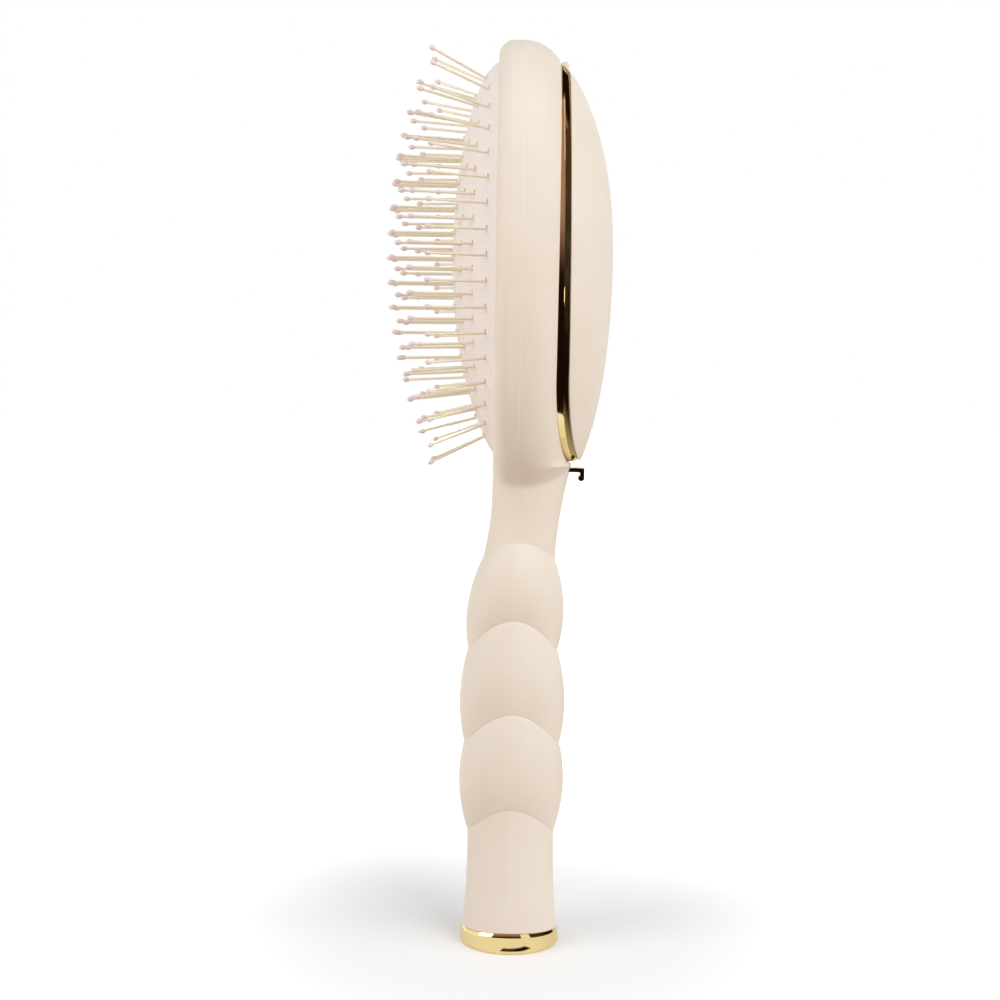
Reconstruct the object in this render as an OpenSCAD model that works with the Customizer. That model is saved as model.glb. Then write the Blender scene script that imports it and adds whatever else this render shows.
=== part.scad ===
// Detangling brush: bubble handle, cushioned head with ball-tipped wire pins, lidded compartment in the back.
// It stands on its butt. Z runs up the handle, X points to the back lid, -X to the pins, Y across the head.

/* [Head] */
// Height of the crown of the head above the butt
head_top = 235; // [232:1:242]
// Half the length of the head's oval, from its centre up
head_half_h = 55.5; // [54:0.5:58]
// Half the width of the head
head_half_w = 31; // [30:0.5:36]
// How far the oval reaches below its centre, where it flows into the neck
head_low_h = 58; // [56:0.5:60]
// Depth from the parting plane to the flat front rim
rim_depth = 6.5; // [6.1:0.05:7.2]
// Rounding between the front rim and the side of the head
rim_round = 4; // [3:0.1:4.4]
// Rounding of the head's back, centred in the parting plane
back_round = 10.4; // [9.8:0.1:12]
// Depth from the parting plane to the flat back face
back_depth = 9; // [8.6:0.1:9.4]
// How much the back face rises where it meets the neck
saddle_rise = 5; // [3.5:0.1:5.4]
// How far below the centre of the head that rise begins
saddle_z = 29.5; // [27.5:0.5:33.5]

/* [Handle] */
// Radius of the handle's end above the gold ring
end_radius = 12.5; // [12.2:0.1:12.9]
// Radius of the plain sleeve under the bubbles
sleeve_radius = 11.3; // [10.8:0.1:12]
// Height of the lowest crease, seen from the front
crease_1_z = 30; // [28:0.5:32]
// Height of the second crease
crease_2_z = 53.4; // [52:0.1:55]
// Height of the third crease
crease_3_z = 78.3; // [76:0.1:80]
// Height of the top crease
crease_4_z = 102; // [100:0.5:104]
// Radius in the lowest crease
crease_1_r = 11.4; // [11:0.1:12]
// Radius in the second crease
crease_2_r = 12.55; // [11.8:0.05:13]
// Radius in the third crease
crease_3_r = 11.7; // [11.2:0.1:12.4]
// Radius in the top crease
crease_4_r = 9.5; // [9:0.1:10]
// How much the lowest bubble swells
bubble_1_swell = 1.8; // [1:0.1:2.4]
// How much the middle bubble swells
bubble_2_swell = 1.7; // [1:0.1:2.4]
// How much the top bubble swells
bubble_3_swell = 2; // [1:0.1:2.4]
// How far the lowest crease arches up on the handle's sides
crease_1_rise = 7.8; // [3:0.1:9]
// How far the second crease arches up
crease_2_rise = 9.6; // [3:0.1:10.5]
// How far the third crease arches up
crease_3_rise = 9; // [3:0.1:10.5]
// How far the top crease arches up
crease_4_rise = 5.2; // [2:0.1:7]
// Half the width of the neck at its narrowest
neck_half_w = 9.3; // [8.8:0.1:10]
// Length over which the neck's front flows into the head's rim
neck_flow = 18; // [12:0.5:24]
// How far below the centre of the head the neck's ledge meets the back lid
ledge_z = 52.3; // [51.5:0.1:53.5]
// Length of the neck, from the top crease to that ledge
neck_length = 25.2; // [23:0.1:27]

/* [Walls and fits] */
// Wall of the two shells
wall = 2.2; // [1.8:0.1:2.6]
// Gap between parts that only lie beside each other
gap = 0.1; // [0.05:0.01:0.14]
// Radial clearance of the hinge pin in its knuckles
pin_clear = 0.05; // [0.02:0.01:0.08]

/* [Cushion] */
// Half the width of the opening that the cushion fills
mouth_half_w = 25; // [23.5:0.5:25.5]
// Half the length of that opening
mouth_half_h = 49.9; // [48.5:0.1:50.5]
// Height of the cushion's crown above the rim
crown = 11.2; // [9:0.1:13]
// Thickness of the cushion's rubber
skin = 1.2; // [0.9:0.1:1.6]
// Width of the flange that is clamped behind the rim
flange_w = 1.9; // [1.4:0.1:2.2]
// Thickness of the plate behind the cushion
plate_t = 1.5; // [1.2:0.1:1.8]

/* [Pins] */
// Diameter of the pin wire
wire_d = 0.65; // [0.55:0.05:0.8]
// Length of a pin from the cushion to the end of its tip
pin_length = 17; // [13:0.5:19]
// Diameter of the ball tips
tip_d = 1.4; // [1.2:0.05:1.6]
// Length of the teardrop behind a ball tip
tip_tail = 1.2; // [0.9:0.1:1.6]
// Spacing of the pins along their ovals
pin_pitch = 6.25; // [5.8:0.05:7]
// Spacing of the ovals of pins
ring_pitch = 5.2; // [4.8:0.1:5.2]
// Distance of the outer oval of pins from the rim
edge_margin = 4; // [3.6:0.1:4.4]
// Lean of the outermost pins, in degrees
outer_lean = 29; // [15:1:34]

/* [Back lid] */
// Height of the lid's dome over its rim
dome_h = 11.7; // [8:0.1:13]
// Wall of the lid
lid_wall = 1.8; // [1.4:0.1:2.2]
// How far the lid's rim lies inside the ring's outline at the sides
lid_inset = 0.7; // [0.4:0.1:1]
// Radius of the hinge knuckles
knuckle_r = 0.9; // [0.8:0.05:1]
// Half the length of the lid's knuckle
knuckle_half = 2.2; // [1.8:0.1:2.4]
// Length of each knuckle on the back shell
ear_length = 1.9; // [1.5:0.1:2.2]
// Radius of the hinge pin
hinge_r = 0.45; // [0.35:0.05:0.5]
// Diameter of the closing magnets
magnet_d = 5; // [4:0.2:6]
// Thickness of the closing magnets
magnet_t = 1.2; // [0.8:0.1:1.4]

/* [Trim ring] */
// How far the ring and the lid lie below the centre of the head
ring_drop = 0.9; // [0.5:0.1:1.2]
// Height of the gold ring over the back face near its top
ring_top_h = 2.2; // [1.8:0.1:2.6]
// Height of the gold ring at its foot
ring_low_h = 3.3; // [2.8:0.1:3.6]
// Length over which the ring runs out at its top, under the lid
ring_run = 4; // [3:0.5:6]
// Width of the ring's bevel
ring_bevel = 1.5; // [1:0.1:1.7]
// Depth of the ring's seat in the back face
ring_seat = 0.3; // [0.2:0.05:0.4]
// Width of the gold ring's band
ring_w = 2; // [1.7:0.1:2.2]
// How far the ring's middle edge stands out
ring_edge = 0.3; // [0.1:0.05:0.4]

/* [Compartment] */
// Half the width of the tray
tray_half_w = 21.4; // [18:0.2:21.6]
// Half the length of the tray
tray_half_h = 36; // [30:0.5:36.5]
// Depth of the tray below the back face
tray_depth = 6; // [4:0.2:6.4]
// Wall of the tray
tray_wall = 1.2; // [0.9:0.1:1.5]
// Width of the flange that rests on the back face
tray_flange = 1.3; // [1:0.1:1.5]

/* [Hook] */
// How far the hook stands out from the neck
hook_reach = 3.6; // [3:0.1:4.6]
// Thickness of the hook's strip
hook_t = 1.2; // [1:0.1:1.4]
// Width of the hook's strip
hook_w = 6; // [4:0.5:8]
// Length of the hook's hanging end
hook_drop = 3.5; // [3:0.1:4.2]
// Radius of the stud that holds the hook
stud_r = 1; // [0.8:0.1:1.2]

/* [Base] */
// Height of the gold base ring
base_h = 4.4; // [3.8:0.1:5]
// Radius of the base ring at the bottom
base_r = 13.15; // [12.9:0.05:13.5]
// Rounding of the base ring's lower edge
base_round = 0.8; // [0.4:0.1:1]
// Depth of the plug inside the handle
plug_h = 12; // [9:0.5:16]
// Thickness of the pad that the brush stands on
foot_t = 0.6; // [0.4:0.1:0.8]

/* [Hidden] */
$fn = 64;
over = 1;
head_z = head_top - head_half_h;
mouth_z = head_z;
pin_rings = 5;

cream = [0.93, 0.87, 0.80];
gold = [0.86, 0.70, 0.40];
pale_gold = [0.87, 0.81, 0.62];
blush = [0.90, 0.86, 0.84];
steel = [0.6, 0.6, 0.62];

function mix(a, b, t) = a + (b - a) * t;
function clamp(v, low, high) = max(low, min(high, v));
function soft_max(a, b) = pow(pow(max(a, 0), 3) + pow(max(b, 0), 3), 1 / 3);

// An oval of half width a and half height b about the height z0, drawn in the YZ plane.
function oval(a, b, z0, sides = 72) = [
    for (k = [0:sides - 1]) let (t = 360 * k / sides) [a * sin(t), z0 + b * cos(t)]
];

// A straight-sided oval block from x0 to x1.
module oval_block(a, b, z0, x0, x1) {
    translate([x0, 0, 0])
    rotate([90, 0, 90])
    linear_extrude(x1 - x0)
    polygon(oval(a, b, z0));
}

// A cylinder along Y, centred on y0.
module rod_y(r, length, x, z, y0 = 0) {
    translate([x, y0, z])
    rotate([90, 0, 0])
    cylinder(r = r, h = length, center = true);
}

// A cylinder along X from x0 to x1.
module rod_x(r, x0, x1, y, z) {
    translate([x0, y, z])
    rotate([0, 90, 0])
    cylinder(r = r, h = x1 - x0);
}

// Triangles between two rows of n points that start at a and b, closed into a loop or open.
function band(a, b, n, closed = true) = [
    for (k = [0:n - (closed ? 1 : 2)])
    each let (m = (k + 1) % n) [[a + k, a + m, b + k], [a + m, b + m, b + k]]
];

// Shape of the body
ledge_at = head_z - ledge_z;
saddle_at = head_z - saddle_z;
// Stretch that brings the handle and neck up to the head
reach_share = ledge_at / (crease_4_z + neck_length);
creases = [crease_1_z, crease_2_z, crease_3_z, crease_4_z] * reach_share;
crease_r = [crease_1_r, crease_2_r, crease_3_r, crease_4_r];
crease_rise = [crease_1_rise, crease_2_rise, crease_3_rise, crease_4_rise];
swells = [bubble_1_swell, bubble_2_swell, bubble_3_swell];
// How far each crease's centre lies off the axis, as shares of its radius
crease_shift_shares = [-0.013, -0.02, -0.034, 0.084];
bubble_power = 0.8;
// How much wider the neck is at its ledge
neck_flare_share = 0.18;
front_step = crease_r[3] * (1 - crease_shift_shares[3]) - rim_depth;
neck_back = crease_r[3] * (1 + crease_shift_shares[3]);
ledge_back = back_depth + saddle_rise;

function bubble_of(s) = s < creases[1] ? 0 : s < creases[2] ? 1 : 2;
function along(s, k) = (s - creases[k]) / (creases[k + 1] - creases[k]);
function bubble_r(s, k) = mix(crease_r[k], crease_r[k + 1], along(s, k))
    + swells[k] * pow(sin(180 * clamp(along(s, k), 0, 1)), bubble_power);
function sleeve_r(s) = let (u = clamp((s - base_h) / (creases[0] - base_h), 0, 1))
    mix(sleeve_radius, crease_r[0], u) + (end_radius - sleeve_radius) * pow(1 - u, 2.4);
function handle_r(s) = s < creases[0] ? sleeve_r(s) : bubble_r(s, bubble_of(s));
function handle_shift(s) = s < creases[0]
    ? crease_r[0] * crease_shift_shares[0] * s / creases[0]
    : let (k = bubble_of(s)) mix(
        crease_r[k] * crease_shift_shares[k],
        crease_r[k + 1] * crease_shift_shares[k + 1],
        clamp(along(s, k), 0, 1));
function rise_at(s) = s < creases[0] ? crease_rise[0] * s / creases[0]
    : s > creases[3] ? crease_rise[3] * pow(clamp(1 - (s - creases[3]) / (ledge_at - creases[3]), 0, 1), 2)
    : let (k = bubble_of(s)) mix(crease_rise[k], crease_rise[k + 1], along(s, k));

// How far the back face is lifted at the height z.
function lift(z) = let (u = (saddle_at - max(z, ledge_at)) / (saddle_at - ledge_at))
    z > saddle_at ? 0 : saddle_rise * (1 - sqrt(1 - u * u));

function neck_share(s) = clamp((s - creases[3]) / (ledge_at - creases[3]), 0, 1);
function front_of(s) = s <= creases[3] ? handle_r(s) - handle_shift(s)
    : rim_depth + front_step * pow(clamp(1 - (s - creases[3]) / neck_flow, 0, 1), 2);
function back_of(s) = s <= creases[3] ? handle_r(s) + handle_shift(s)
    : s < ledge_at ? mix(neck_back, ledge_back, pow(neck_share(s), 1.6))
    : back_depth + lift(s);
function neck_w(s) = s <= creases[3] ? handle_r(s)
    : let (t = (s - creases[3]) / (ledge_at - creases[3]))
    (t < 1 ? mix(crease_r[3], neck_half_w, clamp(3 * t, 0, 1)) + neck_flare_share * neck_half_w * pow(t, 2)
     : (1 + neck_flare_share) * neck_half_w * sqrt(max(1 - pow(t - 1, 2), 0)));

// How far the head's outline draws in at the depth x, for a surface set in by g.
function draw_in(x, g, z) = x < 0
    ? let (r = max(rim_round - g, rim_round / 4), e = clamp(-x - (rim_depth - g - r), 0, r))
      r - sqrt(r * r - e * e)
    : let (r = back_round - g, e = min(x * back_depth / (back_depth + lift(z)), r))
      r - sqrt(r * r - e * e);

// Half the head's width at the depth x and the height z.
function head_w(x, z, g) = let (
    t = draw_in(x, g, z) + g,
    b = (z > head_z ? head_half_h : head_low_h) - t,
    v = (z - head_z) / b)
    abs(v) >= 1 ? 0 : (head_half_w - t) * sqrt(1 - v * v);

// Depth of the front and the back at the height z, drawn in under the crown of the head.
function crown_left(z, g) = head_top - g - z;
function front_depth(s, g) = let (left = max(crown_left(s, g), 0), r = max(rim_round - g, rim_round / 4))
    s < head_z || left >= r ? front_of(s) - g
    : rim_depth - g - r + sqrt(r * r - pow(r - left, 2));
function back_reach(s, g) = let (left = max(crown_left(s, g), 0), r = back_round - g)
    s < head_z ? back_of(s) - g
    : min(back_depth - g, sqrt(r * r - pow(r - min(left, r), 2)));

least_y = wall / 8;
side_steps = 8;

// One point of the body at the station s: t runs from 0 at the parting plane to 1 at the front or the back.
function body_point(s, t, side, g, front) = let (
    reach = front ? front_depth(s, g) : back_reach(s, g),
    x = (front ? -1 : 1) * reach * sin(90 * t),
    mid = (back_of(s) - front_of(s)) / 2,
    half = (back_of(s) + front_of(s)) / 2 - g,
    u = clamp((x - mid) / half, -1, 1),
    y = soft_max((neck_w(s) - g) * sqrt(1 - u * u), head_w(x, s, g)))
    [x, side * max(y, least_y), s + rise_at(s) * (1 - u * u)];

function half_loop(s, g, front) = concat(
    [for (k = [0:side_steps]) body_point(s, k / side_steps, 1, g, front)],
    [for (k = [side_steps:-1:0]) body_point(s, k / side_steps, -1, g, front)]
);

bubble_shares = [0, 0.07, 0.18, 0.34, 0.5, 0.66, 0.82, 0.93];
sleeve_shares = [0, 0.12, 0.3, 0.55, 0.8];
neck_shares = [0, 0.15, 0.3, 0.46, 0.62, 0.76];
head_steps = 24;
head_low_z = head_z - head_low_h;
crown_skip = 0.02;
stations = concat(
    [for (t = sleeve_shares) mix(base_h, creases[0], t)],
    [for (k = [0:2]) for (t = bubble_shares) mix(creases[k], creases[k + 1], t)],
    [for (t = neck_shares) mix(creases[3], head_low_z, t)],
    [for (k = [0:head_steps]) let (c = cos(180 * (1 - crown_skip) * k / head_steps))
        c > 0 ? head_z - head_low_h * c : head_z - head_half_h * c]
);
// The inner wall's station lies lower where the crown closes over it.
inner_drop_share = 1.05;
function inner_station(s) = s > head_z ? s - inner_drop_share * wall * pow((s - head_z) / head_half_h, 2) : s;

// Half of the body as one closed shell: the outer wall, the inner wall and the edges that join them.
module body_half(front) {
    n = 2 * side_steps + 2;
    m = len(stations);
    points = concat(
        [for (s = stations) each half_loop(s, 0, front)],
        [for (s = stations) each half_loop(inner_station(s), wall, front)]
    );
    inner = n * m;
    flip = front ? 1 : 0;
    faces = concat(
        [for (j = [0:m - 2]) each band(j * n, (j + 1) * n, n, false)],
        [for (j = [0:m - 2]) each band(inner + (j + 1) * n, inner + j * n, n, false)],
        band(inner, 0, n, false),
        [for (j = [0:m - 2]) each [
            [j * n, (j + 1) * n, inner + j * n],
            [(j + 1) * n, inner + (j + 1) * n, inner + j * n],
            [(j + 1) * n + n - 1, j * n + n - 1, inner + j * n + n - 1],
            [inner + (j + 1) * n + n - 1, (j + 1) * n + n - 1, inner + j * n + n - 1]
        ]],
        [for (k = [0:n / 2 - 2]) each let (a = (m - 1) * n + k, b = (m - 1) * n + n - 1 - k) [
            [a, a + 1, b], [a + 1, b - 1, b],
            [inner + a + 1, inner + a, inner + b], [inner + b - 1, inner + a + 1, inner + b]
        ]],
        [let (a = (m - 1) * n, b = (m - 1) * n + n - 1) each [[a, b, inner + a], [b, inner + b, inner + a]]]
    );
    polyhedron(
        points = points,
        faces = flip ? [for (f = faces) [f[2], f[1], f[0]]] : faces,
        convexity = 6
    );
}

// The front half, opened by the oval mouth that the cushion fills.
module front_shell() {
    color(cream)
    difference() {
        body_half(true);
        oval_block(mouth_half_w, mouth_half_h, mouth_z, -rim_depth - over, -rim_depth + wall + over);
    }
}

// Outline of the ring and the lid
ring_draw = back_round - sqrt(pow(back_round, 2) - pow(back_depth, 2));
ring_z = head_z - ring_drop;
ring_half_w = head_half_w - ring_draw;
ring_half_h = head_half_h - ring_draw + ring_drop / 3;
ring_sides = 72;
// Share of its height that the ring keeps where it runs out at the top
run_share = 0.25;

function ease(t) = t * t * (3 - 2 * t);
function edge_z(t) = ring_z + ring_half_h * cos(t);
// Height of the ring over the back face, at the height z of its outline.
function ring_up(z) = clamp((z - ring_z + ring_half_h) / (2 * ring_half_h), 0, 1);
function ring_rise(z) = mix(ring_low_h, ring_top_h, ring_up(z))
    * mix(run_share, 1, ease(clamp((ring_z + ring_half_h - z) / ring_run, 0, 1)));
// Shares of the ring's height and width at which its outer facet begins and ends
facet_share = 0.32;
ridge_share = 0.35;
function ring_section(h) = let (low = max(h - ring_bevel, facet_share * h)) [
    [-ring_seat, 0], [0, 0], [low, ring_edge], [h, -ridge_share * ring_w], [h, -ring_w], [-ring_seat, -ring_w]
];
seat_section = [
    [-ring_seat - gap, gap], [ring_low_h, gap],
    [ring_low_h, -ring_w - gap], [-ring_seat - gap, -ring_w - gap]
];

// A section of depth and offset, given for each angle, carried along the ring's oval.
module ring_sweep(sections) {
    n = len(sections[0]);
    points = [
        for (k = [0:ring_sides - 1]) let (t = 360 * k / ring_sides)
        for (p = sections[k])
        let (x = back_depth + lift(edge_z(t)) + p[0])
        [x, (ring_half_w + p[1]) * sin(t), ring_z + (ring_half_h + p[1]) * cos(t)]
    ];
    faces = [
        for (k = [0:ring_sides - 1])
        each [for (f = band(k * n, ((k + 1) % ring_sides) * n, n)) [f[2], f[1], f[0]]]
    ];
    polyhedron(points = points, faces = faces, convexity = 6);
}

// Hinge at the top of the back shell, between the head's shoulder and the lid
hinge_x = back_depth + knuckle_r + 4 * gap;
hinge_z = ring_z + ring_half_h - knuckle_r + gap;
knuckle_room = 2 * gap;
ear_y = knuckle_half + gap + ear_length / 2;
ear_end = ear_y + ear_length / 2;

// A knuckle of the shell on its web, at one side and grown by g.
web_r = knuckle_r / 2;
module ear(side, g) {
    hull() {
        rod_y(knuckle_r + g, ear_length + g, hinge_x, hinge_z, side * ear_y);
        rod_y(web_r + g, ear_length + g, back_depth - knuckle_r, hinge_z - web_r, side * ear_y);
    }
}

// Magnets at the foot of the lid
magnet_r = magnet_d / 2;
magnet_z = ring_z - ring_half_h + ring_w + 3 * magnet_r;
magnet_x = back_depth + lift(magnet_z);

// Hook under the lid
hook_z = ledge_at - 1.2 * hook_t;
hook_face = back_of(hook_z) + gap;
nut_t = 1.6;
nut_r = 2.4;

// The back half, with the mouth of the compartment, the ring's seat, the hinge's knuckles and the bores.
module back_shell() {
    color(cream)
    difference() {
        union() {
            difference() {
                body_half(false);
                oval_block(
                    tray_half_w + gap, tray_half_h + gap, ring_z,
                    back_depth - wall - over, back_depth + over
                );
                oval_block(
                    tray_half_w + tray_flange + gap, tray_half_h + tray_flange + gap, ring_z,
                    back_depth - gap, back_depth + saddle_rise
                );
                ring_sweep([for (k = [1:ring_sides]) seat_section]);
                rod_x(magnet_r + gap, magnet_x - magnet_t, magnet_x + saddle_rise, 0, magnet_z);
                rod_x(stud_r + gap, back_depth, hook_face + over, 0, hook_z);
            }
            for (side = [-1, 1]) ear(side, 0);
        }
        rod_y(hinge_r, 2 * ear_end + over, hinge_x, hinge_z);
    }
}

// How steeply the cushion rises at its sides and at its two ends
side_power = 1.29;
top_power = 0.58;
low_power = 0.85;
function end_power(a) = mix(low_power, top_power, (1 + cos(a)) / 2);
// Height of the cushion above the rim at the share rho of the oval and the angle a from the top.
function pad_h(rho, a) = crown * pow(max(1 - rho * rho, 0), mix(end_power(a), side_power, abs(sin(a))));

pad_sides = 40;
pad_rings = 9;
function pad_loop(rho, a, b, h_scale, x0) = [
    for (k = [0:pad_sides - 1]) let (t = 360 * k / pad_sides)
    [x0 - h_scale * pad_h(rho, t), rho * a * sin(t), mouth_z + rho * b * cos(t)]
];
function flat_loop(a, b, x) = [
    for (k = [0:pad_sides - 1]) let (t = 360 * k / pad_sides)
    [x, a * sin(t), mouth_z + b * cos(t)]
];
flange_x = -rim_depth + wall + gap;
flange_t = 1;

// The crowned rubber cushion, hollow behind, with its clamped flange.
module cushion_pad() {
    a = mouth_half_w - gap;
    b = mouth_half_h - gap;
    in_h = (crown - skin) / crown;
    loops = concat(
        [for (k = [1:pad_rings]) pad_loop(sin(90 * k / pad_rings), a, b, 1, -rim_depth)],
        [flat_loop(a, b, flange_x)],
        [flat_loop(a + flange_w, b + flange_w, flange_x)],
        [flat_loop(a + flange_w, b + flange_w, flange_x + flange_t)],
        [flat_loop(a - skin, b - skin, flange_x + flange_t)],
        [for (k = [pad_rings:-1:1]) pad_loop(sin(90 * k / pad_rings), a - skin, b - skin, in_h, -rim_depth)]
    );
    n = pad_sides;
    m = len(loops);
    points = concat(
        [[-rim_depth - crown, 0, mouth_z]],
        [for (l = loops) each l],
        [[-rim_depth - crown * in_h, 0, mouth_z]]
    );
    faces = concat(
        [for (k = [0:n - 1]) [0, 1 + (k + 1) % n, 1 + k]],
        [for (j = [0:m - 2]) each band(1 + j * n, 1 + (j + 1) * n, n)],
        [for (k = [0:n - 1]) [1 + m * n, 1 + (m - 1) * n + k, 1 + (m - 1) * n + (k + 1) % n]]
    );
    color(blush)
    polyhedron(points = points, faces = faces, convexity = 6);
}

// The plate that clamps the cushion's flange, with its vents.
plate_x = flange_x + flange_t + gap;
vent_r = 1.5;
vent_step = 30;
module backing_plate() {
    color("white")
    difference() {
        oval_block(mouth_half_w + flange_w, mouth_half_h + flange_w, mouth_z, plate_x, plate_x + plate_t);
        for (z = [-vent_step, 0, vent_step])
        rod_x(vent_r, plate_x - over, plate_x + plate_t + over, 0, mouth_z + z);
    }
}

// Pins stand on ovals inside the mouth, evenly spaced along each.
anchor_r = 1.4 * wire_d;
anchor_t = 0.4;
heel_r = 0.36 * wire_d;
heel_length = 1.6 * wire_d;
trace_steps = 180;
function pin_a(ring) = max(mouth_half_w - edge_margin - ring * ring_pitch, 0.1 * ring_pitch);
function pin_b(ring) = mouth_half_h - edge_margin - ring * ring_pitch;
// Angle against length along the oval from its top.
function trace(a, b) = [
    for (k = 0, len = 0;
         k <= trace_steps;
         k = k + 1,
         len = len + norm([
             a * (sin(360 * k / trace_steps) - sin(360 * (k - 1) / trace_steps)),
             b * (cos(360 * k / trace_steps) - cos(360 * (k - 1) / trace_steps))]))
    [len, 360 * k / trace_steps]
];
// Each oval holds an even number, every second one turned by half a step; the last ring is a straight row.
function pin_angles(ring) = let (t = trace(pin_a(ring), pin_b(ring)), whole = t[trace_steps][0])
    let (n = 2 * round(whole / pin_pitch / 2))
    [for (k = [0:n - 1]) lookup(whole * (k + ((ring + 1) % 2) / 2) / n, t)];
function row_places() = let (n = round(pin_b(pin_rings - 1) / pin_pitch))
    [for (k = [-n:n]) [0, pin_b(pin_rings - 1) * k / n]];
function ring_places(ring) = ring == pin_rings - 1 ? row_places()
    : [for (t = pin_angles(ring)) [pin_a(ring) * sin(t), pin_b(ring) * cos(t)]];

full_lean_share = 0.84;
// Share of the lean that turns up or down at the ends of the oval
end_lean_share = 0.8;
function pin_rho(p) = norm([p[0] / mouth_half_w, p[1] / mouth_half_h]);
function pin_foot(p) = let (rho = pin_rho(p), a = atan2(p[0] / mouth_half_w, p[1] / mouth_half_h))
    [-rim_depth - pad_h(rho, a), p[0], mouth_z + p[1]];
function pin_way(p) = let (
    lean = outer_lean * min(pow(pin_rho(p) / full_lean_share, 2), 1.1),
    up = end_lean_share * pow(p[1] / (mouth_half_h - edge_margin), 3),
    out = sqrt(max(1 - up * up, 0)) * sign(p[0]))
    [-cos(lean), sin(lean) * out, sin(lean) * up];

// Places its children with their Z along the direction of the pin at p, from its foot.
module at_pin(p) {
    way = pin_way(p);
    translate(pin_foot(p))
    rotate([0, acos(way[2]), atan2(way[1], way[0])])
    children();
}

module pin_ring(ring) {
    color(pale_gold)
    for (p = ring_places(ring))
    at_pin(p) {
        translate([0, 0, -skin - anchor_t])
        cylinder(r = anchor_r, h = anchor_t);
        translate([0, 0, -skin - anchor_t / 2])
        cylinder(d = wire_d, h = skin + anchor_t / 2 + pin_length - tip_d);
        translate([0, 0, heel_r])
        rotate([0, -90, 0])
        cylinder(r = heel_r, h = heel_length);
    }
}

module pin_tip_ring(ring) {
    color(blush)
    for (p = ring_places(ring))
    at_pin(p)
    difference() {
        union() {
            translate([0, 0, pin_length - tip_d / 2])
            sphere(d = tip_d);
            translate([0, 0, pin_length - tip_d / 2 - tip_tail])
            cylinder(d1 = wire_d + 2 * gap, d2 = 0.9 * tip_d, h = tip_tail + 0.2 * tip_d);
        }
        cylinder(d = wire_d, h = pin_length - tip_d);
    }
}

// The gold ring in its seat, open at the top for the hinge.
module trim_ring() {
    color(gold)
    difference() {
        ring_sweep([for (k = [0:ring_sides - 1]) ring_section(ring_rise(edge_z(360 * k / ring_sides)))]);
        translate([back_depth - over, -ear_end - gap, ring_z + ring_half_h - 2 * ring_w])
        cube([ring_top_h + 2 * over, 2 * (ear_end + gap), 3 * ring_w]);
    }
}

// The cream dome, a shell with a knuckle at its top and a boss for its magnet.
lid_half_w = ring_half_w - lid_inset;
lid_rings = 9;
lid_crown = back_depth + (ring_low_h + ring_top_h) / 2 + gap + dome_h;
// Share of the way from the crown to the rim that the dome has fallen at rho.
function dome_fall(rho) = 1 - pow(max(1 - pow(rho, 2.2), 0), 0.8);
function rim_x(z) = back_depth + lift(z) + ring_rise(z) + gap;
function lid_loop(rho, g) = [
    for (k = [0:ring_sides - 1]) let (t = 360 * k / ring_sides)
    [
        mix(lid_crown - g, rim_x(edge_z(t)), dome_fall(rho)),
        rho * (lid_half_w - g) * sin(t),
        ring_z + rho * (ring_half_h - g) * cos(t)
    ]
];
module dome() {
    n = ring_sides;
    loops = concat(
        [for (k = [1:lid_rings]) lid_loop(sin(90 * k / lid_rings), 0)],
        [for (k = [lid_rings:-1:1]) lid_loop(sin(90 * k / lid_rings), lid_wall)]
    );
    m = len(loops);
    points = concat(
        [[lid_crown, 0, ring_z]],
        [for (l = loops) each l],
        [[lid_crown - lid_wall, 0, ring_z]]
    );
    faces = concat(
        [for (k = [0:n - 1]) [0, 1 + k, 1 + (k + 1) % n]],
        [for (j = [0:m - 2]) each [for (f = band(1 + j * n, 1 + (j + 1) * n, n)) [f[2], f[1], f[0]]]],
        [for (k = [0:n - 1]) [1 + m * n, 1 + (m - 1) * n + (k + 1) % n, 1 + (m - 1) * n + k]]
    );
    polyhedron(points = points, faces = faces, convexity = 6);
}

// The magnet's boss reaches down from the dome to just over the back face,
// which rises towards the boss's lower edge.
boss_wall = 0.9;
boss_r = magnet_r + boss_wall;
boss_x = back_depth + lift(magnet_z - boss_r) + 2 * gap;
boss_fall = dome_fall((ring_z - magnet_z) / ring_half_h);
boss_end = mix(lid_crown - lid_wall, rim_x(ring_z - ring_half_h), boss_fall);
module lid() {
    color(cream)
    difference() {
        union() {
            difference() {
                dome();
                for (side = [-1, 1]) ear(side, knuckle_room);
            }
            rod_y(knuckle_r, 2 * knuckle_half, hinge_x, hinge_z);
            rod_x(boss_r, boss_x, boss_end, 0, magnet_z);
        }
        rod_y(hinge_r + pin_clear, 4 * knuckle_half, hinge_x, hinge_z);
        rod_x(magnet_r + gap, boss_x - over, boss_x + magnet_t + gap, 0, magnet_z);
    }
}

// The pin is held in the shell's knuckles and turns in the lid's.
module hinge_pin() {
    color(cream)
    rod_y(hinge_r, 2 * ear_end, hinge_x, hinge_z);
}

module lid_magnet() {
    color(steel)
    rod_x(magnet_r, boss_x + gap, boss_x + gap + magnet_t, 0, magnet_z);
}

module ring_magnet() {
    color(steel)
    rod_x(magnet_r, magnet_x - magnet_t, magnet_x, 0, magnet_z);
}

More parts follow.
